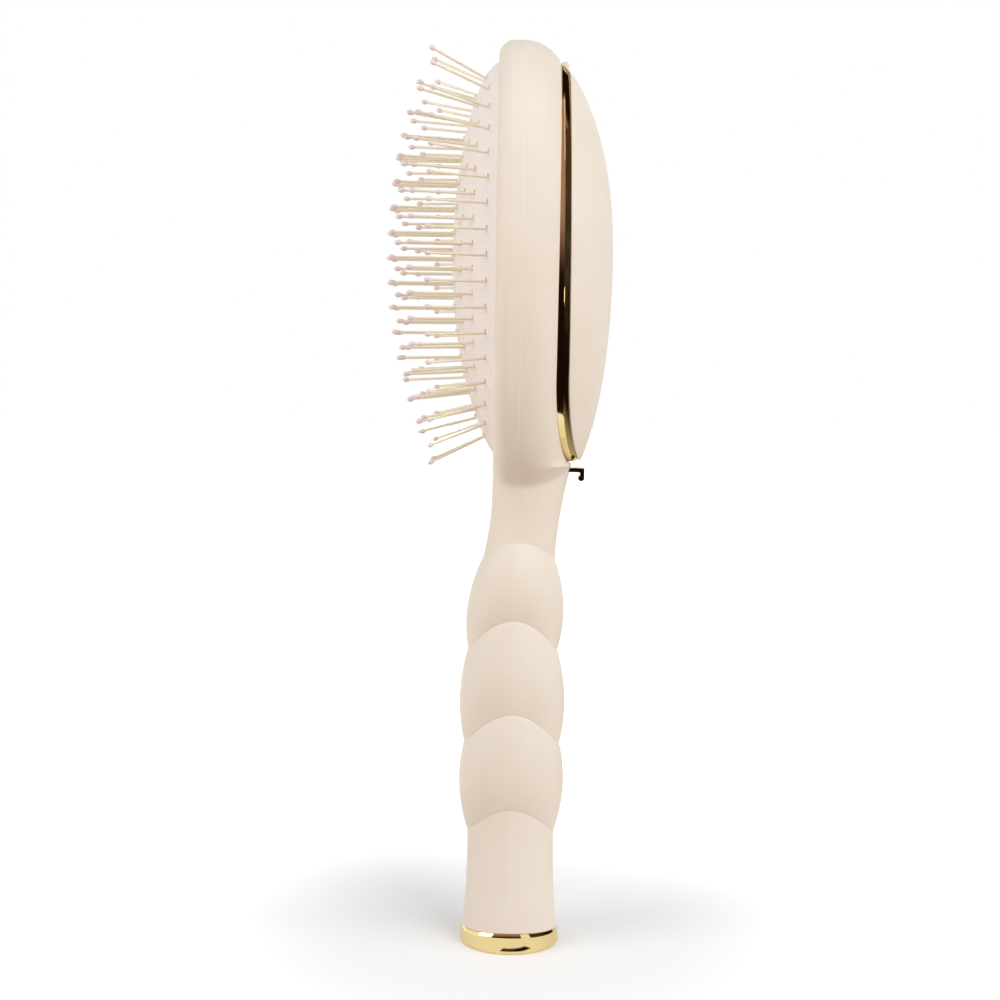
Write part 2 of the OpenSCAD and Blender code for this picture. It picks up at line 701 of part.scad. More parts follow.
// The tray of the compartment: a flange on the back face, walls, a floor, and feet that hold the plate.
tray_floor_x = back_depth - tray_depth;
tray_foot_r = 2;
module compartment_tray() {
    color(cream)
    difference() {
        union() {
            oval_block(tray_half_w, tray_half_h, ring_z, tray_floor_x, back_depth + tray_wall / 2);
            oval_block(
                tray_half_w + tray_flange, tray_half_h + tray_flange, ring_z,
                back_depth, back_depth + tray_wall
            );
            for (y = [-1, 1], z = [-1, 1])
            rod_x(
                tray_foot_r, plate_x + plate_t + gap, tray_floor_x + tray_wall / 2,
                y * tray_half_w / 2, ring_z + z * tray_half_h / 2
            );
        }
        oval_block(
            tray_half_w - tray_wall, tray_half_h - tray_wall, ring_z,
            tray_floor_x + tray_wall, back_depth + tray_wall + over
        );
    }
}

// The hook: a bar out of the neck, a hanging end and a curled tip, on a stud through the back shell.
module hook() {
    top = hook_z + hook_t / 2;
    out = hook_face + hook_reach;
    color(gold) {
        translate([0, hook_w / 2, 0])
        rotate([90, 0, 0])
        linear_extrude(hook_w)
        polygon([
            [hook_face, top], [out, top], [out, top - hook_drop + hook_t / 2],
            [out - hook_t, top - hook_drop + hook_t / 2],
            [out - hook_t, top - hook_t], [hook_face, top - hook_t]
        ]);
        rod_y(0.7 * hook_t, hook_w, out - 0.7 * hook_t, top - hook_drop + 0.7 * hook_t);
        rod_x(stud_r, hook_face - 2 * wall - nut_t, hook_face + hook_t / 4, 0, hook_z);
    }
}

module hook_nut() {
    nut_x = hook_face - gap - 1.6 * wall;
    color(steel)
    difference() {
        translate([nut_x - nut_t, 0, hook_z])
        rotate([0, 90, 0])
        cylinder(r = nut_r, h = nut_t, $fn = 6);
        rod_x(stud_r, nut_x - nut_t - over, nut_x + over, 0, hook_z);
    }
}

// The gold ring that caps the handle, with a shoulder that the plug clamps.
plug_r = sleeve_radius - wall - 3 * gap;
shoulder_z = base_h / 2;
ring_bore = end_radius - wall / 2;
top_draw = 0.55;
crest_sides = 96;

// The ring's upper edge rises with the arched foot of the shells, at both sides of the brush.
module base_crest() {
    outer = base_r - top_draw - gap / 2;
    inner = end_radius - wall;
    low = base_h - base_round;
    points = [
        for (k = [0:crest_sides - 1])
        let (a = 360 * k / crest_sides, top = base_h + rise_at(base_h) * pow(sin(a), 2) - gap / 2)
        for (p = [[inner, low], [outer, low], [outer, top], [inner, top]])
        [p[0] * cos(a), p[0] * sin(a), p[1]]
    ];
    n = len(points) / crest_sides;
    faces = [for (k = [0:crest_sides - 1]) each band(k * n, ((k + 1) % crest_sides) * n, n)];
    polyhedron(points = points, faces = faces, convexity = 4);
}

module base_ring() {
    color(gold)
    union() {
        base_crest();
        base_cap();
    }
}

module base_cap() {
    rotate_extrude() {
        difference() {
            union() {
                translate([0, base_round])
                polygon([
                    [0, 0], [base_r, 0],
                    [base_r - top_draw, base_h - base_round], [0, base_h - base_round]
                ]);
                square([base_r - base_round, base_h]);
                translate([base_r - base_round, base_round])
                circle(r = base_round);
            }
            translate([0, -over])
            square([ring_bore, shoulder_z + over]);
            square([plug_r + gap, base_h + over]);
        }
    }
}

module base_plug() {
    color("ivory")
    rotate_extrude() {
        translate([0, foot_t])
        square([plug_r, plug_h]);
        translate([0, foot_t])
        square([ring_bore - gap, shoulder_z - foot_t - gap]);
    }
}

module base_foot() {
    color(steel)
    cylinder(r = ring_bore - gap, h = foot_t);
}

front_shell();
back_shell();
cushion_pad();
backing_plate();
for (k = [1:pin_rings]) {
    pin_ring(k - 1);
    pin_tip_ring(k - 1);
}
trim_ring();
lid();
hinge_pin();
lid_magnet();
ring_magnet();
compartment_tray();
hook();
hook_nut();
base_ring();
base_plug();
base_foot();
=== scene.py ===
import math

import bmesh
import bpy
import numpy as np
from mathutils import Matrix, Vector


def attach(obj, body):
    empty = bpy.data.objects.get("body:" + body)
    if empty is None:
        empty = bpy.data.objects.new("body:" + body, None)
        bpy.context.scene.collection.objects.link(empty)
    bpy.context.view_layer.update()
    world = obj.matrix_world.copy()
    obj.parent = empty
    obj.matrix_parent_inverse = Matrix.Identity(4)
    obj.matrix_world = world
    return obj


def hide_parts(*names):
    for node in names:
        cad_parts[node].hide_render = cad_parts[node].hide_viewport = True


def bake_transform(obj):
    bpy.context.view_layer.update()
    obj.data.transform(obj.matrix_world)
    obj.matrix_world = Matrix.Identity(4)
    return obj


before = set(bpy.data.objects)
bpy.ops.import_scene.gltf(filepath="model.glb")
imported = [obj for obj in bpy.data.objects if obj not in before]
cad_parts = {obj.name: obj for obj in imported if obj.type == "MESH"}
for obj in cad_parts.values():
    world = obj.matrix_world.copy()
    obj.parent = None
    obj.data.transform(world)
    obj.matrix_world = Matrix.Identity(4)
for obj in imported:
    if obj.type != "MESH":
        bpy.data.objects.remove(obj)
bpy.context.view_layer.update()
mm = 0.001

# The body's sizes in millimetres, as the frame has them
brush = dict(
    headTop=235.0, headHalfH=55.5, headHalfW=31.0, headLowH=58.0,
    rimDepth=6.5, rimRound=4.0, backRound=10.4, backDepth=9.0,
    saddleRise=5.0, saddleZ=150.0, ledgeZ=127.2,
    creaseZ=np.array([30.0, 53.4, 78.3, 102.0]), creaseR=np.array([11.4, 12.55, 11.7, 9.5]),
    creaseRise=np.array([7.8, 9.6, 9.0, 5.2]), creaseShift=np.array([-0.013, -0.02, -0.034, 0.084]),
    swell=np.array([1.8, 1.7, 2.0]), swellPower=0.8,
    endR=12.5, sleeveR=11.3, sleevePower=2.4, baseH=4.4,
    neckHalfW=9.3, neckFlow=18.0, neckWiden=0.18, neckPower=1.6, wall=2.2, gap=0.1)
headZ = brush["headTop"] - brush["headHalfH"]


# Helpers

def clip01(v):
    return np.clip(v, 0.0, 1.0)


def mix(a, b, t):
    return a + (b - a) * t


def rounded(r, depth):
    # How far a quarter circle of radius r has fallen, depth along from its top.
    return r - np.sqrt(np.clip(r * r - depth * depth, 0, None))


def link(name, data):
    # An object for the data, in the scene.
    made = bpy.data.objects.new(name, data)
    bpy.context.scene.collection.objects.link(made)
    return made


def setSharp(obj, angle):
    # Smooth shading, with the creases past the angle in degrees kept crisp.
    obj.data.shade_smooth()
    obj.data.set_sharp_from_angle(angle=math.radians(angle))


def meshObject(name, verts, faces, body, sharp=40.0, merge=0.002):
    # An object from millimetre points: doubles merged, faces outwards, creases past the angle crisp.
    mesh = bpy.data.meshes.new(name)
    mesh.from_pydata((np.asarray(verts, float) * mm).tolist(), [], [list(f) for f in faces])
    work = bmesh.new()
    work.from_mesh(mesh)
    bmesh.ops.remove_doubles(work, verts=work.verts, dist=merge * mm)
    bmesh.ops.dissolve_degenerate(work, edges=work.edges, dist=1e-7)
    bmesh.ops.recalc_face_normals(work, faces=work.faces)
    work.to_mesh(mesh)
    work.free()
    made = link(name, mesh)
    setSharp(made, sharp)
    if body:
        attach(made, body)
    return made


def gridFaces(rows, cols, closeRows=False, closeCols=False, start=0):
    # Quads between the points of a rows x cols grid, wrapped round where asked.
    r = np.arange(rows if closeRows else rows - 1)
    c = np.arange(cols if closeCols else cols - 1)
    rr, cc = np.meshgrid(r, c, indexing="ij")
    r2, c2 = (rr + 1) % rows, (cc + 1) % cols
    quads = np.stack([rr * cols + cc, rr * cols + c2, r2 * cols + c2, r2 * cols + cc], -1)
    return (quads.reshape(-1, 4) + start).tolist()


def joinGrids(grids):
    # Stacks grids, each (points, closeRows, closeCols), into one list of points and one of faces.
    verts, faces, start = [], [], 0
    for points, closeRows, closeCols in grids:
        rows, cols = points.shape[:2]
        verts.append(points.reshape(-1, 3))
        faces += gridFaces(rows, cols, closeRows, closeCols, start)
        start += rows * cols
    return np.concatenate(verts), faces


def cutAway(obj, cutters):
    # Takes the cutters' space out of obj for good, and removes them.
    for cutter in cutters:
        tool = obj.modifiers.new("cut", "BOOLEAN")
        tool.operation = "DIFFERENCE"
        tool.object = cutter
        tool.solver = "EXACT"
        graph = bpy.context.evaluated_depsgraph_get()
        fresh = bpy.data.meshes.new_from_object(obj.evaluated_get(graph))
        obj.modifiers.clear()
        obj.data = fresh
        bpy.data.objects.remove(cutter)


def rodY(r, length, x, z, y=0.0, sides=48, bevel=0.12):
    # A round bar along Y with eased ends: a profile of radius and height turned about its own axis.
    half = length / 2
    prof = np.array([[0, -half], [r - bevel, -half], [r, -half + bevel],
                     [r, half - bevel], [r - bevel, half], [0, half]])
    radius, along = prof[:, None, 0], prof[:, None, 1]
    a = np.linspace(0, 2 * math.pi, sides, endpoint=False)
    return np.stack([x + radius * np.cos(a), y + along + 0 * a, z + radius * np.sin(a)], -1)


# Body surfaces

def softMax(a, b):
    # Joins two widths without a crease: the cube root of the sum of their cubes.
    return (np.maximum(a, 0) ** 3 + np.maximum(b, 0) ** 3) ** (1 / 3)


def lift(z):
    # How far the back face rises towards the neck's ledge: a quarter of an ellipse.
    b = brush
    u = ((b["saddleZ"] - np.maximum(z, b["ledgeZ"])) / (b["saddleZ"] - b["ledgeZ"])).clip(0, 1)
    return b["saddleRise"] * (1 - np.sqrt(1 - u * u))


def bodyRows(s):
    # For each station s: front and back depth, half width of the handle or neck, and how far the ring
    # arches up. Between two creases the radius runs straight from one to the next, plus a swell on a
    # sine; the sleeve at the foot flares as a power of the height left; the neck eases into the head on
    # a power and a quarter ellipse.
    b = brush
    cz, cr, sh = b["creaseZ"], b["creaseR"], b["creaseR"] * b["creaseShift"]
    k = np.clip(np.searchsorted(cz, s, side="right") - 1, 0, 2)
    u = clip01((s - cz[k]) / (cz[k + 1] - cz[k]))
    bubble = mix(cr[k], cr[k + 1], u) + b["swell"][k] * np.sin(math.pi * u).clip(0) ** b["swellPower"]
    w = clip01((s - b["baseH"]) / (cz[0] - b["baseH"]))
    sleeve = mix(b["sleeveR"], cr[0], w) + (b["endR"] - b["sleeveR"]) * (1 - w) ** b["sleevePower"]
    radius = np.where(s < cz[0], sleeve, bubble)
    shift = np.where(s < cz[0], sh[0] * s / cz[0], mix(sh[k], sh[k + 1], u))
    up = b["creaseRise"]
    rise = np.where(s < cz[0], up[0] * s / cz[0], mix(up[k], up[k + 1], u))
    t = ((s - cz[3]) / (b["ledgeZ"] - cz[3])).clip(0)
    rise = np.where(s > cz[3], up[3] * clip01(1 - t) ** 2, rise)
    front0 = cr[3] * (1 - b["creaseShift"][3])
    frontNeck = b["rimDepth"] + (front0 - b["rimDepth"]) * clip01(1 - (s - cz[3]) / b["neckFlow"]) ** 2
    front = np.where(s <= cz[3], radius - shift, frontNeck)
    back0, back1 = cr[3] * (1 + b["creaseShift"][3]), b["backDepth"] + b["saddleRise"]
    backNeck = np.where(s < b["ledgeZ"], mix(back0, back1, clip01(t) ** b["neckPower"]),
                        b["backDepth"] + lift(s))
    back = np.where(s <= cz[3], radius + shift, backNeck)
    low = mix(cr[3], b["neckHalfW"], clip01(3 * t)) + b["neckWiden"] * b["neckHalfW"] * t ** 2
    high = b["neckHalfW"] * (1 + b["neckWiden"]) * np.sqrt((1 - (t - 1) ** 2).clip(0))
    neck = np.where(s <= cz[3], radius, np.where(t < 1, low, high))
    return front, back, neck, rise


def rimRadius(g):
    # The front rim's rounding, g inside the outer face.
    return max(brush["rimRound"] - g, brush["rimRound"] / 4)


def drawIn(x, g, z):
    # How far the head's outline draws in at depth x: an arc at the front rim and a wider one at the back.
    b = brush
    r, rb = rimRadius(g), b["backRound"] - g
    e = np.clip(-x - (b["rimDepth"] - g - r), 0, r)
    eb = np.minimum(x * b["backDepth"] / (b["backDepth"] + lift(z)), rb)
    return np.where(x < 0, rounded(r, e), rounded(rb, eb))


def headWidth(x, z, g):
    # Half width of the head at depth x and height z: two half ellipses that meet at headZ, drawn in.
    b = brush
    t = drawIn(x, g, z) + g
    v = (z - headZ) / (np.where(z > headZ, b["headHalfH"], b["headLowH"]) - t)
    return np.where(np.abs(v) >= 1, 0, (b["headHalfW"] - t) * np.sqrt((1 - v * v).clip(0)))


def reachOf(s, g, isFront):
    # Depth of one half at the station s: the body's own, and a quarter circle at the crown.
    b = brush
    front, back, _, _ = bodyRows(s)
    left = (b["headTop"] - g - s).clip(0)
    r = rimRadius(g) if isFront else b["backRound"] - g
    arc = np.sqrt((r * r - (r - np.minimum(left, r)) ** 2).clip(0))
    if isFront:
        return np.where((s < headZ) | (left >= r), front - g, b["rimDepth"] - g - r + arc)
    return np.where(s < headZ, back - g, np.minimum(b["backDepth"] - g, arc))


def halfSurface(s, t, g, isFront):
    # Points of one half at y >= 0: t runs from the parting plane (0) to the front or back (1), on sine
    # spacing. The width is the soft maximum of the handle's ellipse and the head's, and the height adds
    # the rise times (1 - u squared), u being the depth's share from the middle.
    s, t = s[:, None], t[None, :]
    front, back, neck, rise = bodyRows(s)
    x = (-1 if isFront else 1) * reachOf(s, g, isFront) * np.sin(math.pi / 2 * t)
    mid, half = (back - front) / 2, (back + front) / 2 - g
    u = np.clip((x - mid) / half, -1, 1)
    y = softMax((neck - g) * np.sqrt(1 - u * u), headWidth(x, s, g))
    return np.stack([x, y, s + rise * (1 - u * u)], -1)


def mouthEdge(s, mouth, grow):
    # The ellipse's point at the height s, set out by grow along its normal; y is 0 above and below it.
    v = np.clip((s - mouth["z"]) / mouth["halfH"], -1, 1)
    y = mouth["halfW"] * np.sqrt((1 - v * v).clip(0))
    n = np.stack([y / mouth["halfW"] ** 2, (s - mouth["z"]) / mouth["halfH"] ** 2], -1)
    n /= np.linalg.norm(n, axis=-1, keepdims=True).clip(1e-9)
    inside = np.abs(s - mouth["z"]) <= mouth["halfH"] + 1e-6
    return np.where(inside, y + grow * n[:, 0], 0.0), np.where(inside, s + grow * n[:, 1], s)


# How many rows and columns each stretch of a shell gets
shellGrid = dict(sleeve=16, bubble=40, neck=44, mouth=140, crown=22, across=26, flat=6, lip=5)


def stationsFor(mouth):
    # Stations from the butt to the crown: dense at each crease, on cosine spacing along the mouth.
    b, n = brush, shellGrid
    cz, past = b["creaseZ"], mouth["lip"] + 0.3  # past: the step over the lip's own rows
    ease = (1 - np.cos(np.linspace(0, math.pi, n["bubble"]))) / 2
    rows = [mix(b["baseH"], cz[0], np.linspace(0, 1, n["sleeve"])[:-1])]
    for k in range(3):
        rows.append(mix(cz[k], cz[k + 1], ease[:-1]))
    low, top = mouth["z"] - mouth["halfH"], mouth["z"] + mouth["halfH"]
    rows.append(mix(cz[3], low - past, np.linspace(0, 1, n["neck"])))
    rows.append(mouth["z"] - mouth["halfH"] * np.cos(np.linspace(0, math.pi, n["mouth"])))
    rows.append(mix(top + past, b["headTop"], np.sin(np.linspace(0, math.pi / 2, n["crown"]))))
    return np.concatenate(rows)


def makeShell(name, isFront, mouth):
    # A half shell: outer and inner wall, each with a flat stretch to the mouth's rounded lip, and its
    # mirror image. The lip is a quarter circle of radius lip between the outer face and the mouth's own
    # ellipse.
    b, n = brush, shellGrid
    s = stationsFor(mouth)
    t = np.linspace(0, 1, n["across"])
    outer = halfSurface(s, t, 0, isFront)
    inside = np.abs(s - mouth["z"]) <= mouth["halfH"] + 1e-6
    sIn = np.where(s > headZ, headZ + (s - headZ) * (b["headHalfH"] - b["wall"]) / b["headHalfH"], s)
    inner = halfSurface(sIn, t, b["wall"], isFront)
    way = -1 if isFront else 1
    f = np.linspace(0, 1, n["flat"])[1:]

    def flat(corner, grow):
        # A straight run from the surface's last column to the mouth's edge.
        goal = np.stack([corner[:, 0], *mouthEdge(s, mouth, grow)], -1)
        return corner[:, None] + (goal - corner)[:, None] * f[None, :, None]

    lip = mouth["lip"]
    outerFlat, innerFlat = flat(outer[:, -1], lip), flat(inner[:, -1], 0)
    lipCols = []
    for a in np.linspace(0, math.pi / 2, n["lip"]):
        x = outer[:, -1, 0] - way * lip * (1 - math.cos(a))
        lipCols.append(np.stack([x, *mouthEdge(s, mouth, lip * (1 - math.sin(a)))], -1))
    rim = np.stack(lipCols + [innerFlat[:, -1]], 1)[inside]
    outerAll = np.concatenate([outer, outerFlat], 1)
    innerAll = np.concatenate([inner, innerFlat], 1)
    parting = np.stack([outer[:, 0], inner[:, 0]], 1)
    butt = np.stack([outer[0], inner[0]], 0)
    grids = []
    for side in (1, -1):
        flip = np.array([1, side, 1])
        for g in (outerAll, innerAll, rim, parting, butt):
            grids.append((g * flip, False, False))
    verts, faces = joinGrids(grids)
    return meshObject(name, verts, faces, "body", sharp=32)


cushion = dict(halfW=24.9, halfH=49.8, crown=11.2, skin=1.2, sidePower=1.29, topPower=0.58, lowPower=0.85,
               flange=1.9, flangeX=-4.2, flangeT=1.0, rows=150, cols=256, backRows=30)
frontMouth = dict(z=headZ, halfW=25.0, halfH=49.9, lip=0.45)
trayMouth = dict(z=headZ - 0.9, halfW=21.5, halfH=36.1, lip=0.15)


def padHeight(rho, a):
    # Height of the pad: crown times (1 - rho squared) to a power that changes round the oval.
    c = cushion
    end = mix(c["lowPower"], c["topPower"], (1 + np.cos(a)) / 2)
    power = mix(end, c["sidePower"], np.abs(np.sin(a)))
    return c["crown"] * (1 - rho * rho).clip(0) ** power


def makeCushion():
    # The crowned pad on rays from the oval's centre: its face, the flange behind the rim, and the
    # hollow behind it.
    c = cushion
    face = -brush["rimDepth"]
    a = np.linspace(0, 2 * math.pi, c["cols"], endpoint=False)[None, :]

    def oval(x, r, g):
        # The point at depth x and share r of the ellipse, which is grown by g.
        return np.stack([x + 0 * a, r * (c["halfW"] + g) * np.sin(a),
                         headZ + r * (c["halfH"] + g) * np.cos(a)], -1)

    r = np.sin(np.linspace(0, math.pi / 2, c["rows"]))[:, None]
    front = oval(face - padHeight(r, a), r, 0)
    behind, deeper = c["flangeX"], c["flangeX"] + c["flangeT"]
    flange = np.concatenate([oval(x, np.ones((1, 1)), g) for x, g in (
        (behind, 0), (behind, c["flange"]), (deeper, c["flange"]), (deeper, -c["skin"]))], 0)
    r = np.sin(np.linspace(math.pi / 2, 0, c["backRows"]))[:, None]
    back = oval(face - padHeight(r, a) * (1 - c["skin"] / c["crown"]), r, -c["skin"])
    verts, faces = joinGrids([(np.concatenate([front, flange, back], 0), False, True)])
    pad = meshObject("cushionPad", verts, faces, None, sharp=50)
    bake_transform(pad)
    return pad


ringDims = dict(drop=0.9, width=2.0, edge=0.3, bevel=1.5, bevelShare=0.68, inward=0.7, topH=2.2, lowH=3.3,
                run=4.0, runShare=0.25, seat=0.3, ease=0.09, ridgeEase=0.26, openHalf=4.3,
                steps=420, crowd=0.06)
ringDraw = rounded(brush["backRound"], brush["backDepth"])
ringZ = headZ - ringDims["drop"]
ringHalfW, ringHalfH = brush["headHalfW"] - ringDraw, brush["headHalfH"] - ringDraw + ringDims["drop"] / 3
hinge = dict(r=0.9, lidHalf=2.2, ear=1.9, past=0.06, room=0.2)
hinge["x"] = brush["backDepth"] + hinge["r"] + 4 * brush["gap"]
hinge["z"] = ringZ + ringHalfH - hinge["r"] + brush["gap"]


def ringRise(z):
    # Height of the ring: it grows in a straight line towards the foot and runs out on an S curve on top.
    r = ringDims
    t = clip01((ringZ + ringHalfH - z) / r["run"])
    share = clip01((z - ringZ + ringHalfH) / (2 * ringHalfH))
    return mix(r["lowH"], r["topH"], share) * mix(r["runShare"], 1.0, t * t * (3 - 2 * t))


def rimX(z):
    # Where the lid's rim rests: back depth, plus the rise to the neck, the ring's height and a gap.
    return brush["backDepth"] + lift(z) + ringRise(z) + brush["gap"]


def makeTrimRing():
    # The two-facet section, each corner eased by a parabola, carried round the ellipse from one side of
    # the hinge to the other. The turn runs evenly but for a small sine, which crowds the steps where
    # the oval bends most.
    r = ringDims
    gapTurn = math.asin(r["openHalf"] / ringHalfW)
    u = np.linspace(0, 1, r["steps"])
    a = gapTurn + (2 * math.pi - 2 * gapTurn) * (u + r["crowd"] * np.sin(4 * math.pi * u) / (4 * math.pi))
    edgeZ = ringZ + ringHalfH * np.cos(a)
    h = ringRise(edgeZ)
    bevel = np.minimum(r["bevel"], r["bevelShare"] * h)
    zero = 0 * h
    corners = np.stack([np.stack([up, zero + out], -1) for up, out in (
        (zero - r["seat"], 0), (zero, 0), (h - bevel, r["edge"]),
        (h, -r["inward"]), (h, -r["width"]), (zero - r["seat"], -r["width"]))], 1)
    before, after = np.roll(corners, 1, 1) - corners, np.roll(corners, -1, 1) - corners
    before /= np.linalg.norm(before, axis=-1, keepdims=True)
    after /= np.linalg.norm(after, axis=-1, keepdims=True)
    ease = np.full((1, 6, 1), r["ease"])
    ease[0, 2] = r["ridgeEase"]  # the ridge between the two facets
    section = np.stack([corners + ease * (before * (1 - t) ** 2 + after * t ** 2)
                        for t in (0, 0.33, 0.67, 1)], 2).reshape(len(a), -1, 2)
    pts = np.stack([brush["backDepth"] + lift(edgeZ)[:, None] + section[:, :, 0],
                    (ringHalfW + section[:, :, 1]) * np.sin(a)[:, None],
                    ringZ + (ringHalfH + section[:, :, 1]) * np.cos(a)[:, None]], -1)
    ends = []
    for k in (0, -1):
        centre = np.repeat(pts[k].mean(0)[None], pts.shape[1], 0)
        ends.append((np.stack([centre, pts[k]], 0), False, True))
    verts, faces = joinGrids([(pts, False, True)] + ends)
    return meshObject("trimRing", verts, faces, "body", sharp=16, merge=0.0005)


def makeEars():
    # The back shell's two knuckles: a half circle round the pin and one of half its size in the shell,
    # carried along Y as one teardrop outline with eased ends.
    h, r = hinge, hinge["r"]
    dx, dz = brush["backDepth"] - r - h["x"], -r / 2
    turn, steps = math.atan2(dz, dx), (17, 9)  # points on the big and the small half circle
    a = np.concatenate([np.linspace(turn - math.pi / 2, turn + math.pi / 2, steps[0]) + math.pi,
                        np.linspace(turn - math.pi / 2, turn + math.pi / 2, steps[1])])
    big = np.arange(len(a)) < steps[0]
    prof = np.stack([np.where(big, h["x"], h["x"] + dx) + np.where(big, r, r / 2) * np.cos(a),
                     np.where(big, h["z"], h["z"] + dz) + np.where(big, r, r / 2) * np.sin(a)], -1)
    centre = prof.mean(0)
    grids = []
    for side in (-1, 1):
        y = side * (h["lidHalf"] + brush["gap"] + h["ear"] / 2)
        rows = []
        for off, grow in ((-0.5, 0.0), (-0.5, 0.9), (-0.45, 1.0), (0.45, 1.0), (0.5, 0.9), (0.5, 0.0)):
            p = centre + (prof - centre) * grow
            rows.append(np.stack([p[:, 0], 0 * p[:, 0] + y + off * (h["ear"] + h["past"]), p[:, 1]], -1))
        grids.append((np.stack(rows, 0), False, True))
    return meshObject("shellKnuckles", *joinGrids(grids), "body")


lidDims = dict(inset=0.7, dome=11.7, wall=1.8, fallIn=2.2, fallOut=0.8, ease=0.3,
               steps=360, rows=100, hollow=30)


def domeX(rho, a, g):
    # Depth of the dome, g inside it: from its crown to the rim it falls as 1 - (1 - rho^2.2)^0.8.
    d = lidDims
    crown = brush["backDepth"] + (ringDims["lowH"] + ringDims["topH"]) / 2 + brush["gap"] + d["dome"]
    fall = 1 - (1 - rho ** d["fallIn"]).clip(0) ** d["fallOut"]
    return mix(crown - g, rimX(ringZ + ringHalfH * np.cos(a)), fall)


def makeLid():
    # The dome outside, its rim's corner eased by a parabola, and the hollow inside, on rays from the
    # oval's centre.
    d, ease = lidDims, lidDims["ease"]
    a = np.linspace(0, 2 * math.pi, d["steps"], endpoint=False)[None, :]

    def surface(g, rho):
        # The dome g inside its face, at the shares rho of the oval.
        r = rho[:, None]
        return np.stack([domeX(r, a, g), r * (ringHalfW - d["inset"] - g) * np.sin(a),
                         ringZ + r * (ringHalfH - g) * np.cos(a)], -1)

    outer = surface(0, np.sin(np.linspace(0, math.pi / 2, d["rows"])))
    inner = surface(d["wall"], np.sin(np.linspace(math.pi / 2, 0, d["hollow"])))
    last = outer[-1]
    inward = inner[0] - last
    inward /= np.linalg.norm(inward, axis=-1, keepdims=True)
    t = np.linspace(0, 1, 5)[:, None, None]
    up = outer[-4] - last
    up /= np.linalg.norm(up, axis=-1, keepdims=True)
    corner = last + ease * (up * (1 - t) ** 2 + inward * t ** 2)
    keep = np.linalg.norm(outer - last, axis=-1).min(1) > ease * 1.05
    shell = np.concatenate([outer[keep], corner, inner], 0)
    dome = meshObject("backLid", *joinGrids([(shell, False, True)]), "lid")
    h, cutters = hinge, []
    for side in (-1, 1):
        y = side * (h["lidHalf"] + brush["gap"] + h["ear"] / 2)
        room = rodY(h["r"] + h["room"], h["ear"] + h["room"], h["x"], h["z"], y)
        cutters.append(meshObject("earRoom", *joinGrids([(room, False, True)]), None))
    cutAway(dome, cutters)
    setSharp(dome, 50)
    return dome


def makeLidKnuckle():
    # The lid's middle knuckle, a bar between the shell's two.
    grid = rodY(hinge["r"], 2 * hinge["lidHalf"], hinge["x"], hinge["z"])
    return meshObject("lidKnuckle", *joinGrids([(grid, False, True)]), "lid")


bossDims = dict(r=3.4, bore=2.6, deep=1.6, bevel=0.15, clear=0.2, z=137.49)


def makeLidBoss():
    # The boss for the magnet: a stepped profile of depth and radius turned about X, its root in the
    # dome's wall.
    b, g = bossDims, lidDims["wall"] / 2
    x0 = brush["backDepth"] + float(lift(np.array(b["z"] - b["r"]))) + b["clear"]
    prof = np.array([[0, 0], [0, b["r"]], [x0 + b["bevel"], b["r"]], [x0, b["r"] - b["bevel"]],
                     [x0, b["bore"]], [x0 + b["deep"], b["bore"]], [x0 + b["deep"], 0]])
    depth, radius = prof[:, None, 0], prof[:, None, 1]
    a = np.linspace(0, 2 * math.pi, 64, endpoint=False)
    rows = np.stack([depth + 0 * a, radius * np.sin(a), b["z"] + radius * np.cos(a)], -1)
    y, z = rows[:2, :, 1] / (ringHalfW - lidDims["inset"] - g), (rows[:2, :, 2] - ringZ) / (ringHalfH - g)
    rows[:2, :, 0] = domeX(np.hypot(y, z), np.arctan2(y, z), g)
    return meshObject("lidBoss", *joinGrids([(rows, False, True)]), "lid", sharp=30)


tipDims = dict(length=17.0, ball=1.4, tail=1.95, wire=0.65, close=0.2, skin=0.16, early=1.45, full=0.6,
               rows=12, sides=14)
pinDims = dict(halfW=25.0, halfH=49.9, margin=4.0, ringPitch=5.2, pitch=6.25, rings=5,
               lean=29.0, fullLean=0.84, mostLean=1.1, endLean=0.8)


def ringPlaces(k):
    # Pins at equal lengths along the k-th ellipse from its top, or along the centre row for the last.
    p = pinDims
    a = max(p["halfW"] - p["margin"] - k * p["ringPitch"], 0.1 * p["ringPitch"])
    b = p["halfH"] - p["margin"] - k * p["ringPitch"]
    if k == p["rings"] - 1:
        n = round(b / p["pitch"])
        return np.stack([np.zeros(2 * n + 1), b * np.arange(-n, n + 1) / n], -1)
    t = np.linspace(0, 2 * math.pi, 181)
    path = np.stack([a * np.sin(t), b * np.cos(t)], -1)
    length = np.concatenate([[0], np.cumsum(np.linalg.norm(np.diff(path, axis=0), axis=1))])
    n = 2 * math.floor(length[-1] / p["pitch"] / 2 + 0.5)
    at = np.interp(length[-1] * (np.arange(n) + ((k + 1) % 2) / 2) / n, length, t)
    return np.stack([a * np.sin(at), b * np.cos(at)], -1)


def pinFrames(places):
    # Foot and direction of each pin: it leans out by the square of its share of the oval, and the
    # upward part of that lean goes with the cube of its height, so only the pins near the ends point up
    # or down.
    p = pinDims
    q = places / np.array([p["halfW"], p["halfH"]])
    rho = np.linalg.norm(q, axis=1)
    foot = np.stack([-brush["rimDepth"] - padHeight(rho, np.arctan2(q[:, 0], q[:, 1])),
                     places[:, 0], headZ + places[:, 1]], -1)
    lean = np.radians(p["lean"] * np.minimum((rho / p["fullLean"]) ** 2, p["mostLean"]))
    up = p["endLean"] * (places[:, 1] / (p["halfH"] - p["margin"])) ** 3
    out = np.sqrt((1 - up * up).clip(0)) * np.sign(places[:, 0])
    return foot, np.stack([-np.cos(lean), np.sin(lean) * out, np.sin(lean) * up], -1)


